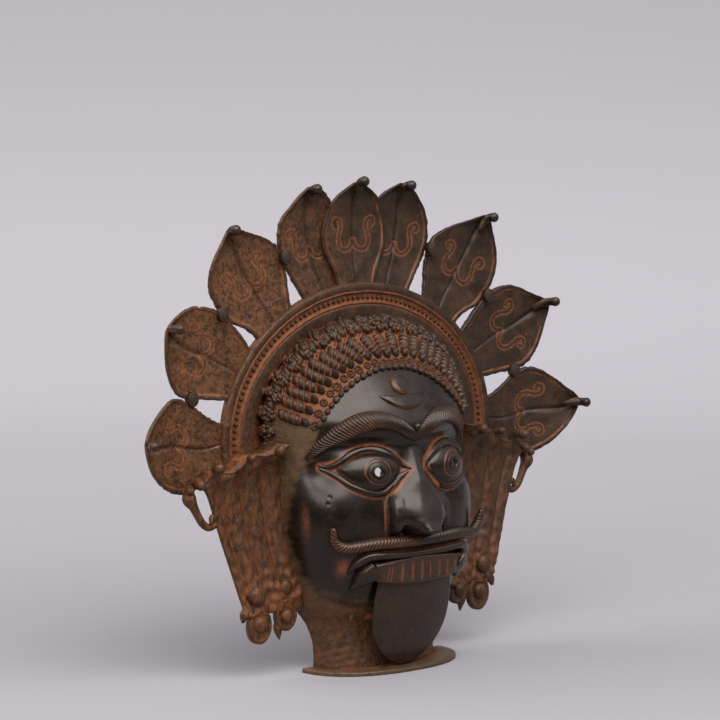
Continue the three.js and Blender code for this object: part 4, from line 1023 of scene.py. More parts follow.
def make_eyes():
    """Bulging eyeballs with a raised iris round a drilled pupil, and plain round lids."""
    outline = np.array(EYE_OUTLINE, float)
    closed = np.vstack([outline, outline[:1]])
    run = run_of(closed)
    around = 72
    t = np.linspace(0, run[-1], around, endpoint=False)
    corner = np.stack([np.interp(t, run, closed[:, k]) for k in (0, 1)], axis=-1)
    for _ in range(2):
        corner = (np.roll(corner, 1, 0) + 2 * corner + np.roll(corner, -1, 0)) / 4
    corner -= PUPIL
    turn = np.arctan2(corner[:, 1], corner[:, 0])
    circle = PUPIL_RADIUS * np.stack([np.cos(turn), np.sin(turn)], axis=-1)
    lid = Shape()
    ball = Shape()

    def edges(run, across):
        return 1.1 * bell(np.abs(across) - 0.97, 0.1) + 0 * run

    for side in (-1, 1):
        k = np.linspace(1, 0, 44)
        flat = corner[None] * k[:, None, None] + circle[None] * (1 - k[:, None, None])
        away = np.linalg.norm(flat, axis=-1)
        lift = EYE_BULGE * np.sqrt(np.maximum(1 - k**2.2, 0))[:, None] + 0.6
        lift = lift + 0.5 * (1 - ramp(away, *IRIS_EDGE)) - 0.35 * bell(away - PUPIL_RING, 0.45)
        line = 0.45 * bell(away - IRIS_RING, 0.6) + 0.2 * bell(away - PUPIL_RING, 0.5)
        line = np.maximum(line, 0.5 * bell(k - 1, 0.06)[:, None])
        front = face.at(side * (PUPIL[0] + flat[..., 0]), PUPIL[1] + flat[..., 1], lift)
        _, inward = pupil_axis()
        hole = front[-1:].copy()
        inside = hole + inward * (side, 1, 1) * PUPIL_DEPTH
        wide = hole + inward * (side, 1, 1) * FUNNEL_DEPTH
        centre = wide.mean(axis=(0, 1))
        for axis in (0, 2):
            wide[..., axis] = centre[axis] + (wide[..., axis] - centre[axis]) * FUNNEL_SPREAD
        base = face.at(side * (PUPIL[0] + corner[:, 0]), PUPIL[1] + corner[:, 1], -2.0)[None]
        rings = np.concatenate([base, front, inside, wide])
        m, n = rings.shape[:2]
        j, following = np.arange(n), (np.arange(n) + 1) % n
        i = np.arange(m)[:, None] * n
        deeper = np.roll(i, -1, axis=0)
        quads = np.stack([i + j, i + following, deeper + following, deeper + j], axis=-1)
        red = np.concatenate([line[:1], line, line[-2:] * 0])
        ball.add(rings.reshape(-1, 3), [quads.reshape(-1, 4)], line=red)
        for lid_line in (LID_UPPER, LID_LOWER):
            ridge(lid, lid_line, side, across=18, step=0.8, power=2.2, marks=edges)
    ball.build("eyeballs", finish("face"), polish=1.0)
    lid.build("eyelids", finish("feature"), polish=1.0)


def make_brows():
    """Joined brows cut with curved strokes, and the small boss between them."""
    shape = Shape()
    sizes = bpy.context.scene.mask_sizes
    pitch, deep = sizes.brow_stroke / MM, sizes.stroke_depth / MM

    def cut(run, across):
        return ramp(np.cos(2 * np.pi * (run - 5.5 * across + 2 * across**2) / pitch), 0.1, 0.9)

    def strokes(run, across):
        return -deep * cut(run, across)

    def red(run, across):
        outer_end = 0.35 + 0.65 * ramp(run, 35, 60)
        return ramp(cut(run, across), 0.4, 0.9) * (0.45 + 0.8 * bell(across + 0.7, 0.35)) * outer_end

    for side in (-1, 1):
        ridge(shape, BROW, side, across=28, step=0.38, power=1.9, lean=-0.6, relief=strokes, marks=red)
    dome(shape, on_face(*BROW_BOSS), 6.0, 2.2)
    shape.build("brows", finish("feature"), polish=1.0)


def make_forehead_mark():
    """The disc in its crescent, with earth left round them."""
    def edges(run, across):
        return 0.45 * bell(np.abs(across) - 1, 0.08) + 0 * run

    shape = Shape()
    dome(shape, on_face(*FOREHEAD_DISC), 3.6, 3.2, rings=12, around=48, edge_line=0.45)
    ridge(shape, CRESCENT, 1, across=20, step=0.6, power=3.4, marks=edges)
    shape.build("forehead_mark", finish("feature"), polish=1.0)


def make_mouth():
    """Moustache cut like a rope, upper lip, band of teeth and the fangs."""
    shape = Shape()
    pitch = bpy.context.scene.mask_sizes.moustache_stroke / MM

    def cut(run, turn):
        return ramp(np.cos(2 * np.pi * (run + 3.0 * np.cos(turn)) / pitch), 0.2, 1.0)

    def red(run, turn):
        return (0.12 + 0.4 * ramp(np.sin(turn), -0.2, -0.9)) * cut(run, turn)

    for side in (-1, 1):
        face_bar(shape, MOUSTACHE, side, around=26, step=0.45, marks=red,
                 relief=lambda run, turn: -0.1 * cut(run, turn))
    shape.build("moustache", finish("feature"), polish=0.96)
    shape = Shape()
    for side in (-1, 1):
        ridge(shape, LIP, side, across=16, step=0.8, power=2.6)
        ridge(shape, FANG, side, across=18, step=0.7, power=3.0)
    shape.build("lip_fangs", finish("feature"), polish=0.9)
    shape = Shape()
    reach, top, bottom, top_fall, bottom_climb = TEETH
    s = np.linspace(-reach, reach, 400)[None]
    t = np.linspace(0, 1, 26)[:, None]
    bend = (s / reach) ** 2
    heights = (top - top_fall * bend) * (1 - t) + (bottom + bottom_climb * bend) * t
    line = sum(bell(s - tooth, 0.4) for tooth in TEETH_LINES)
    line = 0.7 * line * ramp(t, 0.1, 0.3) * (1 - ramp(t, 0.75, 0.92))
    body = 8.6 + 3.2 * t - 1.5 * ramp(t, 0.85, 1.0) ** 2 - 3.0 * ramp(np.abs(s), 41, 50) * t
    front = face.at(s, heights, body - 0.7 * line)
    back = face.at(s, heights, -2.0 + 6.5 * ramp(t, 0.35, 0.5))
    shape.plate(front, back, line=np.clip(line, 0, 1))
    shape.build("teeth", finish("feature"), polish=0.62)


def make_tongue():
    """A plain curved plate with a rounded edge, hung out of the mouth."""
    rows, _ = smooth_line([(z, w, y) for z, w, y in TONGUE_ROWS], 1.2)
    z, w, y = rows.T
    k = np.sin(np.linspace(-np.pi / 2, np.pi / 2, 61))
    bow = TONGUE_BOW * (w[:, None] / 46) ** 2 * k[None] ** 2
    edge = np.maximum(np.abs(k[None]) - (1 - 2.0 / w[:, None]), 0) * w[:, None] / 2.0
    half = TONGUE_THICKNESS / 2 * np.sqrt(np.maximum(1 - edge**2, 0.04))
    middle = y[:, None] + bow + TONGUE_THICKNESS / 2
    x = w[:, None] * k[None]
    front = np.stack([x, middle - half, z[:, None] + 0 * x], axis=-1)
    back = np.stack([x, middle + half, z[:, None] + 0 * x], axis=-1)
    Shape().plate(front, back).build("tongue_plate", finish("tongue"), replaces=("tongue",), polish=0.85)


def make_hair():
    """Beads and rosettes on the hairline, curl rolls with studs, and the flower garland under the arch."""
    sizes = bpy.context.scene.mask_sizes
    ovals = face_row(HAIRLINE, sizes.bead_pitch / MM, 1.2)
    bead_row("hairline_beads", *ovals, *HAIR_BEAD, finish("beads"))
    inner, outer = np.array(ROLL_INNER, float), np.array(ROLL_OUTER, float)
    length = np.linalg.norm(outer - inner, axis=1)[:, None]
    away = (outer - inner) / length
    below = inner - away * ROSETTE_BELOW
    both = np.concatenate([below[:0:-1] * (-1, 1), below])
    rosettes = spots_on_face(both[:, 0], both[:, 1], 0.8)
    bead, *ring = ROSETTE
    bead_row("hairline_rosettes", *rosettes, bead, (1, 1, 1), finish("hair"), *ring)
    rolls = Shape()

    def nib(rho, turn):
        return 1.3 * bell(rho, 0.28) - 0.5 * bell(rho - 0.5, 0.14)

    for side in (-1, 1):
        for i in range(0 if side > 0 else 1, len(inner)):
            reach = float(length[i, 0])
            segment = (reach - 4) / 4
            profile = (
                (2, 4.0, 3.5), (6, 5.3, 5), (reach * 0.6, 5.5, 5.4),
                (reach - 2, 5.0, 4.6), (reach + 1.5, 3, 2),
            )
            line = [(*(inner[i] + away[i] * d), w, h) for d, w, h in profile]

            def notches(run):
                return ramp(np.cos(2 * np.pi * (run - 2) / segment), 0.35, 1.0) * (run > 1)

            ridge(rolls, line, side, across=14, step=0.6, relief=lambda run, across: -2.2 * notches(run),
                  marks=lambda run, across: 0.6 * notches(run))
            dome(rolls, on_face(side * inner[i, 0], inner[i, 1], 4.1, 4.1), 6.0, 2.0, relief=nib, around=18)
    rolls.build("curl_rolls", finish("hair"), polish=0.4)
    garland = Shape()
    rng = np.random.default_rng(11)
    for side in (-1, 1):
        for i, (s, z) in enumerate(GARLAND):
            dome(garland, on_face(side * s, z, *FLOWER), 6.0, 2.0, rings=5, around=16)
            if i:
                link_s, link_z = (s + GARLAND[i - 1][0]) / 2, (z + GARLAND[i - 1][1]) / 2
                dome(garland, on_face(side * link_s, link_z, *SMALL_FLOWER), 5.0, 2.0, rings=5, around=12)
            for k in range(12):
                turn = 2 * np.pi * k / 8 + rng.uniform(-0.3, 0.3)
                rho = rng.uniform(0.65, 0.9) if k < 8 else rng.uniform(0, 0.4)
                place = on_face(side * (s + 8 * rho * math.cos(turn)), z + 6.8 * rho * math.sin(turn),
                                *[rng.uniform(1.9, 2.7)] * 2)
                up = 6.2 * math.sqrt(1 - rho**2)
                dome(garland, lambda p, q, out, place=place, up=up: place(p, q, out + up), 2.6, 2.0,
                     rings=4, around=8, sink=2.2)
    garland.build("garland", finish("hair"), polish=0.2)


def arch_point(turn, out):
    return (ARCH_RX + out) * np.cos(turn), ARCH_Z + (ARCH_RZ + out) * np.sin(turn)


def make_arch():
    """The band over the face with its beaded channel."""
    spread = math.asin(ARCH_DROP / ARCH_RZ)
    turn = np.linspace(-spread, np.pi + spread, 300)
    section = np.array(ARCH_SECTION, float)
    x, z = arch_point(turn[:, None], section[None, :, 0])
    rings = np.stack([x, np.repeat(section[None, :, 1], len(turn), axis=0), z], axis=-1)
    rings += (Ripple(21, 14)(rings) * 0.18)[..., None]
    shape = Shape()
    shape.loft(rings, line=0.6 * section[None, :, 2])
    shape.build("arch", finish("arch"))
    sizes = bpy.context.scene.mask_sizes
    fine = np.linspace(-spread * 0.8, np.pi + spread * 0.8, 2000)
    x, z = arch_point(fine, 0)
    run = np.concatenate([[0], np.cumsum(np.hypot(np.diff(x), np.diff(z)))])
    count = int(run[-1] / (sizes.arch_bead_pitch / MM))
    t = np.interp((np.arange(count) + 0.5) * run[-1] / count, run, fine)
    x, z = arch_point(t, 0)
    points = np.stack([x, np.full_like(x, 0.3), z], axis=-1)
    outward = np.tile((0.0, -1.0, 0.0), (count, 1))
    run = np.gradient(points, axis=0)
    bead_row("arch_beads", points, outward, run, *ARCH_BEAD, finish("beads"))


def make_hood(shape, rungs, side, seed, chips=()):
    """One cobra hood: a dished plate with a raised border, a centre groove and an engraved double mark."""
    rungs = np.array(rungs, float)
    middle = (rungs[:, :3] + rungs[:, 3:]) / 2
    reach = run_of(middle)
    t = np.linspace(0, reach[-1], HOOD_ROWS)
    edge = hermite(rungs, reach, t)
    k = np.linspace(-1, 1, HOOD_COLUMNS)
    a, b = edge[:, [0, 2, 1]], edge[:, [3, 5, 4]]
    mix = ((k + 1) / 2)[None, :, None]
    plane = a[:, None] * (1 - mix) + b[:, None] * mix
    half = np.linalg.norm(b - a, axis=1)[:, None] / 2
    across = (b - a) / (2 * half)
    ragged = 0.4 * Ripple(seed, 7)(plane[:, [0, -1]])
    plane[:, 0] += ragged[:, :1] * across
    plane[:, -1] += ragged[:, 1:] * across
    from_edge = half * (1 - np.abs(k))[None]
    sizes = bpy.context.scene.mask_sizes
    cut = sizes.engraving / MM
    border = bell(from_edge - BORDER_INSET, 0.45) * ramp(half, 8, 12) * (t < reach[-1] * 0.86)[:, None]
    along_mark = t[:, None] - 0.44 * reach[-1] + 0 * k
    across_mark = half * np.abs(k)[None]
    path = smooth_line(SPECTACLE, 0.5)[0] * MARK_SCALE
    gap = np.hypot(across_mark[..., None] - path[:, 0], along_mark[..., None] - path[:, 1]).min(axis=-1)
    mark = bell(gap - 2.2, 0.6)
    arc = np.sin(np.pi * np.clip(t / reach[-1], 0, 1))[:, None] ** 0.6
    dish = sizes.hood_dish / MM * (1 - k[None] ** 2) * arc
    toward_tip = ramp(t / reach[-1], 0.3, 0.95)[:, None]
    width = 1.2 + 1.6 * toward_tip
    groove = width * bell(half * k[None], width) * ramp(t, 4, 16)[:, None]
    spout = 3.0 * (1 - k[None] ** 2) * bell(t / reach[-1] - 0.93, 0.12)[:, None]
    raised = ramp(-from_edge, -BORDER_INSET - 0.6, -BORDER_INSET + 0.2)
    wavy = Ripple(seed + 50, 22)(plane) * 0.35
    deep = dish + groove + spout - 0.9 * raised + cut * (border + mark) + wavy
    front = plane.copy()
    front[..., 1] += deep
    back = plane.copy()
    back[..., 1] += PLATE + 0.8 * dish + 0.8 * spout
    soft = np.clip(1 - from_edge / 1.2, 0, 1) ** 2
    front[..., 1] += 0.9 * soft
    back[..., 1] -= 0.9 * soft
    for chip_side, at, size in chips:
        row = np.abs(t / reach[-1] - at) * reach[-1]
        bite = np.clip(1 - row / size, 0, 1) ** 0.6 * size
        columns = k < 0 if chip_side < 0 else k > 0
        pull = np.clip(bite[:, None] - from_edge, 0, None) * columns[None] * -chip_side
        front += pull[..., None] * across[:, None]
        back += pull[..., None] * across[:, None]
    for grid in (front, back):
        grid[..., 0] *= side
    # Rubbed wear on the raised border, and painted shade: a dark polished line along the centre groove
    rim_wear_and_spine_shade = 0.45 * raised + 0.55 * bell(half * k[None], 1.8) * ramp(t, 10, 30)[:, None]
    shape.plate(front, back, line=np.clip(0.9 * border + 0.75 * mark, 0, 1), polish=np.clip(rim_wear_and_spine_shade, 0, 0.6))


def make_crown():
    """Nine hoods with their heads, and the bosses where they meet."""
    heads, bosses = Shape(), Shape()
    # Chips by hood and side: which of its edges, how far up it, size
    nicks = {
        ("low", 1): [(1, 0.55, 2.0)], ("middle", -1): [(1, 0.66, 3.0)],
        ("high", 1): [(1, 0.42, 2.4), (1, 0.5, 3.2)],
    }
    seed = 100
    for side in (-1, 1):
        plates = Shape()
        for name in HOOD_NAMES:
            seed += 1
            make_hood(plates, HOODS[name], side, seed, nicks.get((name, side), ()))
            bar(heads, mirrored(HEADS[name], side), around=18, step=0.7, ochre_top=True)
        for x, z in JOINT_BOSSES:
            dome(bosses, on_plane(side * x, 0.0, z, 6.0, 7.0), 2.8, 3.4, rings=12, around=28, sink=4.5,
                 relief=lambda rho, turn: -0.7 * bell(rho - 0.7, 0.07))
        if side > 0:
            make_hood(plates, HOODS["centre"], 1, 99)
        plates.build("hoods_left" if side < 0 else "hoods_right", finish("crown"))
    bar(heads, HEADS["centre"], around=18, step=0.7, ochre_top=True)
    heads.build("cobra_heads", finish("crown"))
    bosses.build("hood_bosses", finish("beads"))


def make_panels():
    """Fluted side panels with a wavy flared lip, curls, hooks and pendants."""
    cloth, trim = Shape(), Shape()
    rows = np.array(PANEL_ROWS, float)
    down = run_of(rows[:, [0, 4]])
    t = np.linspace(0, down[-1], 120)
    made = hermite(rows, down, t)
    k = np.linspace(0, 1, 110)
    fade = 1 - 0.35 * t / t[-1]
    wave = np.abs(np.sin(np.pi * PLEATS * k)) ** 0.55
    flutes = PLEAT_DEPTH * (fade * ramp(t, 0, 14))[:, None] * (0.4 - 1.4 * wave)[None]
    lip = np.array(PANEL_LIP, float)
    lip = hermite(lip[:, 1], lip[:, 0], k)[None] * (1 - ramp(t, 0, 16))[:, None]
    lumps = Ripple(31, 11)
    for side in (-1, 1):
        x = made[:, 2:3] + (made[:, 3:4] - made[:, 2:3]) * k
        y = made[:, 4:5] + (made[:, 5:6] - made[:, 4:5]) * k + flutes
        z = made[:, 0:1] + (made[:, 1:2] - made[:, 0:1]) * k + lip
        front = np.stack([side * x, y, z], axis=-1)
        low = 1 - ramp(z, 62, 120)
        front[..., 1] += lumps(front) * (0.3 + 1.4 * low)
        back = front.copy()
        top = (1 - ramp(t, 10, 24))[:, None]
        back[..., 1] = (y + PLATE + 0.5) * (1 - top) + 4 * top
        fold = bell(np.mod(k * PLEATS + 0.5, 1) - 0.5, 0.07)
        cloth.plate(front, back, line=np.clip(0.2 * fold[None] + 0.25 * low, 0, 1))
        bar(trim, mirrored(HOOK, side), around=14, step=0.7)
        for curl in PANEL_CURLS:
            bar(trim, mirrored(curl, side), around=18, step=0.6)
        for leaf in LEAVES:
            bar(trim, mirrored(leaf, side), around=14, step=0.7)
        for x0, z0, rx, rz, y0 in PENDANTS:
            dome(trim, on_plane(side * x0, y0 + 1, z0, rx, rz), 1.6, 5.0, rings=14, around=48,
                 relief=lambda rho, turn: 1.0 * bell(rho - 0.86, 0.08), sink=4.0)
        for x0, z0, r, rise, y0 in PENDANT_DOMES:
            dome(trim, on_plane(side * x0, y0, z0, r, r), rise, 2.2, rings=9, around=26, sink=3.0)
    cloth.build("pleated_panels", finish("panel"))
    trim.build("panel_trim", finish("panel"))


def make_foot():
    """The D-shaped flange that the mask stands on."""
    half, front, back, exponent, height = FOOT
    turn = np.linspace(-np.pi / 2, np.pi / 2, 90)
    e = 2 / exponent
    x = half * np.sign(turn) * np.abs(np.sin(turn)) ** e
    y = -back - (front - back) * np.cos(turn) ** e
    outer = np.stack([x, y], axis=-1)
    w, d = station(0.0, 1) - WALL, station(0.0, 2) + station(0.0, 4) - WALL
    x = w * np.sign(turn) * np.abs(np.sin(turn)) ** e
    inner = np.stack([x, station(0.0, 4) - d * np.cos(turn) ** e], axis=-1)
    inner[[0, -1], 1] = -back + 2
    levels = [(0, 0.6), (0.5, 0.1), (1.2, 0), (2.8, 0), (3.6, 0.2), (height, 0.9)]
    ring = []
    for z, inset in levels:
        pulled = outer * (1 - inset / half)
        ring.append(np.column_stack([pulled, np.full(len(turn), z)]))
    ring.append(np.column_stack([inner, np.full(len(turn), height)]))
    ring.append(np.column_stack([inner, np.full(len(turn), 0.0)]))
    rings = np.stack(ring, axis=1)
    rings[..., 2] += 0.12 * Ripple(41, 16)(rings) * (rings[..., 2] > 3)
    Shape().loft(rings, ochre=0.25).build("foot_flange", finish("crown"), polish=0.15)


def settle_deposits():
    """Marks how shut in each point is, which is where the red earth stays when the rest is rubbed clean."""
    reach = bpy.context.scene.mask_sizes.deposit_reach
    pieces = [o for o in bpy.context.scene.objects if o.type == "MESH" and "cavity" in o.data.attributes]
    points, faces, count = [], [], 0
    for piece in pieces:
        mesh = piece.data
        co = np.empty(len(mesh.vertices) * 3)
        mesh.vertices.foreach_get("co", co)
        mesh.calc_loop_triangles()
        tri = np.empty(len(mesh.loop_triangles) * 3, int)
        mesh.loop_triangles.foreach_get("vertices", tri)
        points.append(co.reshape(-1, 3))
        faces.append(tri.reshape(-1, 3) + count)
        count += len(mesh.vertices)
    faces = np.concatenate(faces).tolist()
    every = BVHTree.FromPolygons(np.concatenate(points).tolist(), faces, all_triangles=True)
    for piece, co in zip(pieces, points):
        mesh = piece.data
        normal = np.empty(len(mesh.vertices) * 3)
        mesh.vertices.foreach_get("normal", normal)
        normal = normal.reshape(-1, 3)
        helper = np.where(np.abs(normal[:, 2:3]) < 0.8, (0, 0, 1.0), (0, 1.0, 0))
        side = np.cross(normal, helper)
        side /= np.maximum(np.linalg.norm(side, axis=1), 1e-9)[:, None]
        other = np.cross(normal, side)
        start = (co + normal * LOOK_LIFT).tolist()
        shut = np.zeros(len(co))
        for a, b, c in LOOKS:
            way = (side * a + other * b + normal * c).tolist()
            for i, (p, w) in enumerate(zip(start, way)):
                away = every.ray_cast(p, w, reach)[3]
                if away is not None:
                    shut[i] += c * (1 - 0.6 * away / reach)
        shut /= sum(c for _, _, c in LOOKS)
        mesh.attributes["cavity"].data.foreach_set("value", shut)


# Stage

def make_stage():
    """A sheet of pale paper, square to the camera, that bends up behind the mask, with painted shade: darker
    near the mask and high up.
    """
    turn = math.radians(CAMERA_AZIMUTH)
    away = np.array([-math.sin(turn), math.cos(turn)])
    across = np.array([math.cos(turn), math.sin(turn)])
    bend = np.linspace(0, np.pi / 2, 24)
    run = np.concatenate([[PAPER_FRONT, 0], PAPER_BEND + PAPER_RADIUS * np.sin(bend)])
    run = np.append(run, run[-1])
    rise = np.concatenate([[0, 0], PAPER_RADIUS * (1 - np.cos(bend)), [PAPER_TOP]])
    points = [(*(away * d + across * w), h) for d, h in zip(run, rise) for w in (-PAPER_HALF, PAPER_HALF)]
    faces = [(2 * i, 2 * i + 1, 2 * i + 3, 2 * i + 2) for i in range(len(run) - 1)]
    mesh = bpy.data.meshes.new("backdrop")
    mesh.from_pydata(points, [], faces)
    mesh.polygons.foreach_set("use_smooth", [True] * len(faces))
    material = bpy.data.materials.new("backdrop_paper")
    material.use_nodes = True
    shader = material.node_tree.nodes["Principled BSDF"]
    desk = NodeDesk(material.node_tree)
    where = desk.place()
    depth = desk.vector("DOT_PRODUCT", {0: where, 1: (*away, 0.0)}, "Value")
    height = desk.add("ShaderNodeSeparateXYZ", {0: where}).outputs["Z"]
    # Painted light and shade on the paper: darker near the mask, lighter far behind it, darker again high up
    near, far, high = PAPER_PAINTED_LIGHT
    shade = desk.times(desk.span(depth, 0.0, 2.2, near, far), desk.span(height, 0.15, 0.7, 1.0, high))
    paper = tuple(bpy.context.scene.mask_colours.paper)
    painted_light_paper = desk.vector("SCALE", {0: paper, "Scale": shade})
    desk.feed(shader, {"Base Color": painted_light_paper, "Roughness": 0.9, "Specular IOR Level": 0.1})
    mesh.materials.append(material)
    floor = bpy.data.objects.new("backdrop", mesh)
    bpy.context.scene.collection.objects.link(floor)


def add_lamp(name, place, target, size, power, colour):
    """A soft rectangular lamp."""
    data = bpy.data.lights.new(name, "AREA")
    data.shape = "RECTANGLE"
    data.size, data.size_y = size
    data.energy = power
    data.color = colour
    lamp = bpy.data.objects.new(name, data)
    lamp.location = place
    lamp.rotation_euler = (Vector(target) - Vector(place)).to_track_quat("-Z", "Y").to_euler()
    bpy.context.scene.collection.objects.link(lamp)


def make_lights():
    """A white ceiling over a dark room, soft lamps high in front and behind, and a strip at the left."""
    world = bpy.data.worlds.new("studio")
    world.use_nodes = True
    desk = NodeDesk(world.node_tree)
    background = world.node_tree.nodes["Background"]
    where = desk.add("ShaderNodeTexCoord").outputs["Generated"]
    up = desk.add("ShaderNodeSeparateXYZ", {0: where}).outputs["Z"]
    sky = desk.blend(desk.span(up, 0.0, 0.5), rgba(ROOM), rgba(CEILING))
    desk.feed(background, {"Color": sky, "Strength": 0.95})
    scene = bpy.context.scene
    scene.world = world
    scene.view_settings.view_transform = "Standard"
    scene.view_settings.look = "None"
    for lamp in LAMPS:
        add_lamp(*lamp)


def make_camera():
    """A camera that sees the mask as the photograph does."""
    turn, pitch = math.radians(CAMERA_AZIMUTH), math.radians(CAMERA_PITCH)
    back = Vector((math.sin(turn) * math.cos(pitch), -math.cos(turn) * math.cos(pitch), math.sin(pitch)))
    right = Vector((math.cos(turn), math.sin(turn), 0))
    up = back.cross(right)
    data = bpy.data.cameras.new("camera")
    data.sensor_width = 36
    data.lens = CAMERA_LENS
    data.clip_start, data.clip_end = 0.1, 50
    camera = bpy.data.objects.new("camera", data)
    x, y, z = CAMERA_PLACE
    place = Matrix.Translation(Vector((x, y + ARCH_PLANE, z)) * MM)
    camera.matrix_world = place @ Matrix((right, up, back)).transposed().to_4x4()
    bpy.context.scene.collection.objects.link(camera)
    bpy.context.scene.camera = camera


# Properties, operators and panel

def length_of(name, default, description):
    return bpy.props.FloatProperty(
        name=name, default=default, description=description, unit="LENGTH", min=0.0)


def colour_of(name, default, description):
    return bpy.props.FloatVectorProperty(
        name=name, default=default, description=description, subtype="COLOR", size=3, min=0.0, max=1.0)


class MaskSizes(bpy.types.PropertyGroup):
    """Sizes of the worked detail."""
    brow_stroke: length_of("Brow stroke", 0.0031, "Distance between the cuts of the brows")
    stroke_depth: length_of("Stroke depth", 0.0013, "Depth of the cuts of the brows")
    moustache_stroke: length_of("Moustache stroke", 0.0036, "Distance between the cuts of the moustache")
    bead_pitch: length_of("Hairline bead pitch", 0.0078, "Distance between the beads of the hairline")
    arch_bead_pitch: length_of("Arch bead pitch", 0.0060, "Distance between the beads of the arch")
    engraving: length_of("Engraving", 0.0006, "Depth of the engraved lines of the hoods")
    hood_dish: length_of("Hood dish", 0.0022, "How far the middle of a hood lies behind its edges")
    deposit_reach: length_of("Deposit reach", 0.007, "How near a wall must be to keep red earth beside it")


class MaskColours(bpy.types.PropertyGroup):
    """Colours of the patina and the stage."""
    rubbed: colour_of("Rubbed", (0.010, 0.0078, 0.006), "Rubbed dark metal of the face")
    dark: colour_of("Dark", (0.034, 0.020, 0.012), "Darkest patina of the crown")
    warm: colour_of("Warm", (0.075, 0.036, 0.018), "Warm brown patina")
    earth: colour_of("Earth", (0.165, 0.067, 0.027), "Thin earth film on flat places")
    deposit: colour_of("Deposit", (0.40, 0.115, 0.038), "Red earth in the recesses")
    paper: colour_of("Paper", (0.56, 0.53, 0.555), "Backdrop")


class MASK_OT_camera(bpy.types.Operator):
    """Adds the camera of the photograph"""
    bl_idname = "spirit_mask.camera"
    bl_label = "Camera"
    bl_options = {"REGISTER", "UNDO"}

    def execute(self, context):
        make_camera()
        return {"FINISHED"}


class MASK_OT_shell(bpy.types.Operator):
    """Adds the face and neck"""
    bl_idname = "spirit_mask.shell"
    bl_label = "Face shell"
    bl_options = {"REGISTER", "UNDO"}

    def execute(self, context):
        make_shell()
        return {"FINISHED"}


class MASK_OT_eyes(bpy.types.Operator):
    """Adds the eyeballs and lids"""
    bl_idname = "spirit_mask.eyes"
    bl_label = "Eyes"
    bl_options = {"REGISTER", "UNDO"}

    def execute(self, context):
        make_eyes()
        return {"FINISHED"}


class MASK_OT_brows(bpy.types.Operator):
    """Adds the brows and the boss between them"""
    bl_idname = "spirit_mask.brows"
    bl_label = "Brows"
    bl_options = {"REGISTER", "UNDO"}

    def execute(self, context):
        make_brows()
        return {"FINISHED"}


class MASK_OT_forehead(bpy.types.Operator):
    """Adds the disc and crescent on the forehead"""
    bl_idname = "spirit_mask.forehead"
    bl_label = "Forehead mark"
    bl_options = {"REGISTER", "UNDO"}

    def execute(self, context):
        make_forehead_mark()
        return {"FINISHED"}


class MASK_OT_mouth(bpy.types.Operator):
    """Adds the moustache, lip, teeth and fangs"""
    bl_idname = "spirit_mask.mouth"
    bl_label = "Mouth"
    bl_options = {"REGISTER", "UNDO"}

    def execute(self, context):
        make_mouth()
        return {"FINISHED"}


class MASK_OT_tongue(bpy.types.Operator):
    """Adds the hanging tongue plate"""
    bl_idname = "spirit_mask.tongue"
    bl_label = "Tongue"
    bl_options = {"REGISTER", "UNDO"}

    def execute(self, context):
        make_tongue()
        return {"FINISHED"}


class MASK_OT_hair(bpy.types.Operator):
    """Adds the hairline, curl rolls and garland"""
    bl_idname = "spirit_mask.hair"
    bl_label = "Hair"
    bl_options = {"REGISTER", "UNDO"}

    def execute(self, context):
        make_hair()
        return {"FINISHED"}


class MASK_OT_arch(bpy.types.Operator):
    """Adds the beaded arch"""
    bl_idname = "spirit_mask.arch"
    bl_label = "Arch"
    bl_options = {"REGISTER", "UNDO"}

    def execute(self, context):
        make_arch()
        return {"FINISHED"}


class MASK_OT_crown(bpy.types.Operator):
    """Adds the hoods, heads and bosses"""
    bl_idname = "spirit_mask.crown"
    bl_label = "Crown"
    bl_options = {"REGISTER", "UNDO"}

    def execute(self, context):
        make_crown()
        return {"FINISHED"}


class MASK_OT_panels(bpy.types.Operator):
    """Adds the pleated panels and their trim"""
    bl_idname = "spirit_mask.panels"
    bl_label = "Side panels"
    bl_options = {"REGISTER", "UNDO"}

    def execute(self, context):
        make_panels()
        return {"FINISHED"}


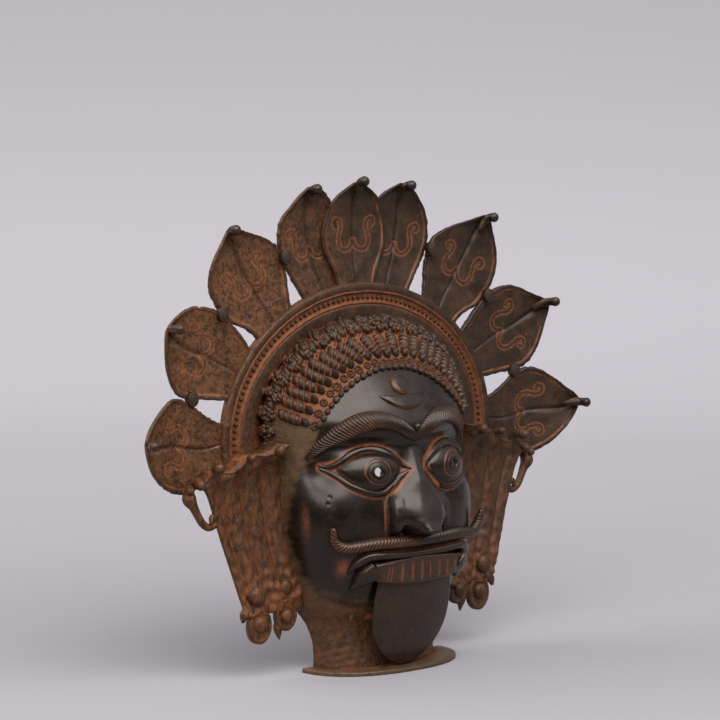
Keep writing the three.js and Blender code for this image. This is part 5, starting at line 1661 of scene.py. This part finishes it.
class MASK_OT_foot(bpy.types.Operator):
    """Adds the foot flange"""
    bl_idname = "spirit_mask.foot"
    bl_label = "Foot"
    bl_options = {"REGISTER", "UNDO"}

    def execute(self, context):
        make_foot()
        return {"FINISHED"}


class MASK_OT_deposits(bpy.types.Operator):
    """Settles red earth in the recesses"""
    bl_idname = "spirit_mask.deposits"
    bl_label = "Deposits"
    bl_options = {"REGISTER", "UNDO"}

    def execute(self, context):
        settle_deposits()
        return {"FINISHED"}


class MASK_OT_stage(bpy.types.Operator):
    """Adds the backdrop and the lights"""
    bl_idname = "spirit_mask.stage"
    bl_label = "Stage"
    bl_options = {"REGISTER", "UNDO"}

    def execute(self, context):
        make_stage()
        make_lights()
        return {"FINISHED"}


OPERATORS = [
    MASK_OT_camera, MASK_OT_shell, MASK_OT_eyes, MASK_OT_brows, MASK_OT_forehead, MASK_OT_mouth,
    MASK_OT_tongue, MASK_OT_hair, MASK_OT_arch, MASK_OT_crown, MASK_OT_panels, MASK_OT_foot,
    MASK_OT_deposits, MASK_OT_stage,
]


class MASK_PT_panel(bpy.types.Panel):
    """Lists the sizes, the colours and the steps in order"""
    bl_label = "Spirit mask"
    bl_idname = "MASK_PT_panel"
    bl_space_type = "VIEW_3D"
    bl_region_type = "UI"
    bl_category = "Spirit mask"

    def draw(self, context):
        for group in (context.scene.mask_sizes, context.scene.mask_colours):
            for name in group.__annotations__:
                self.layout.prop(group, name)
        for step in OPERATORS:
            self.layout.operator(step.bl_idname)


CLASSES = [MaskSizes, MaskColours, *OPERATORS, MASK_PT_panel]


def register():
    for cls in CLASSES:
        bpy.utils.register_class(cls)
    bpy.types.Scene.mask_sizes = bpy.props.PointerProperty(type=MaskSizes)
    bpy.types.Scene.mask_colours = bpy.props.PointerProperty(type=MaskColours)


def unregister():
    del bpy.types.Scene.mask_colours
    del bpy.types.Scene.mask_sizes
    for cls in reversed(CLASSES):
        bpy.utils.unregister_class(cls)


def main():
    register()
    for step in OPERATORS:
        group, name = step.bl_idname.split(".")
        getattr(getattr(bpy.ops, group), name)()


if __name__ == "__main__":
    main()
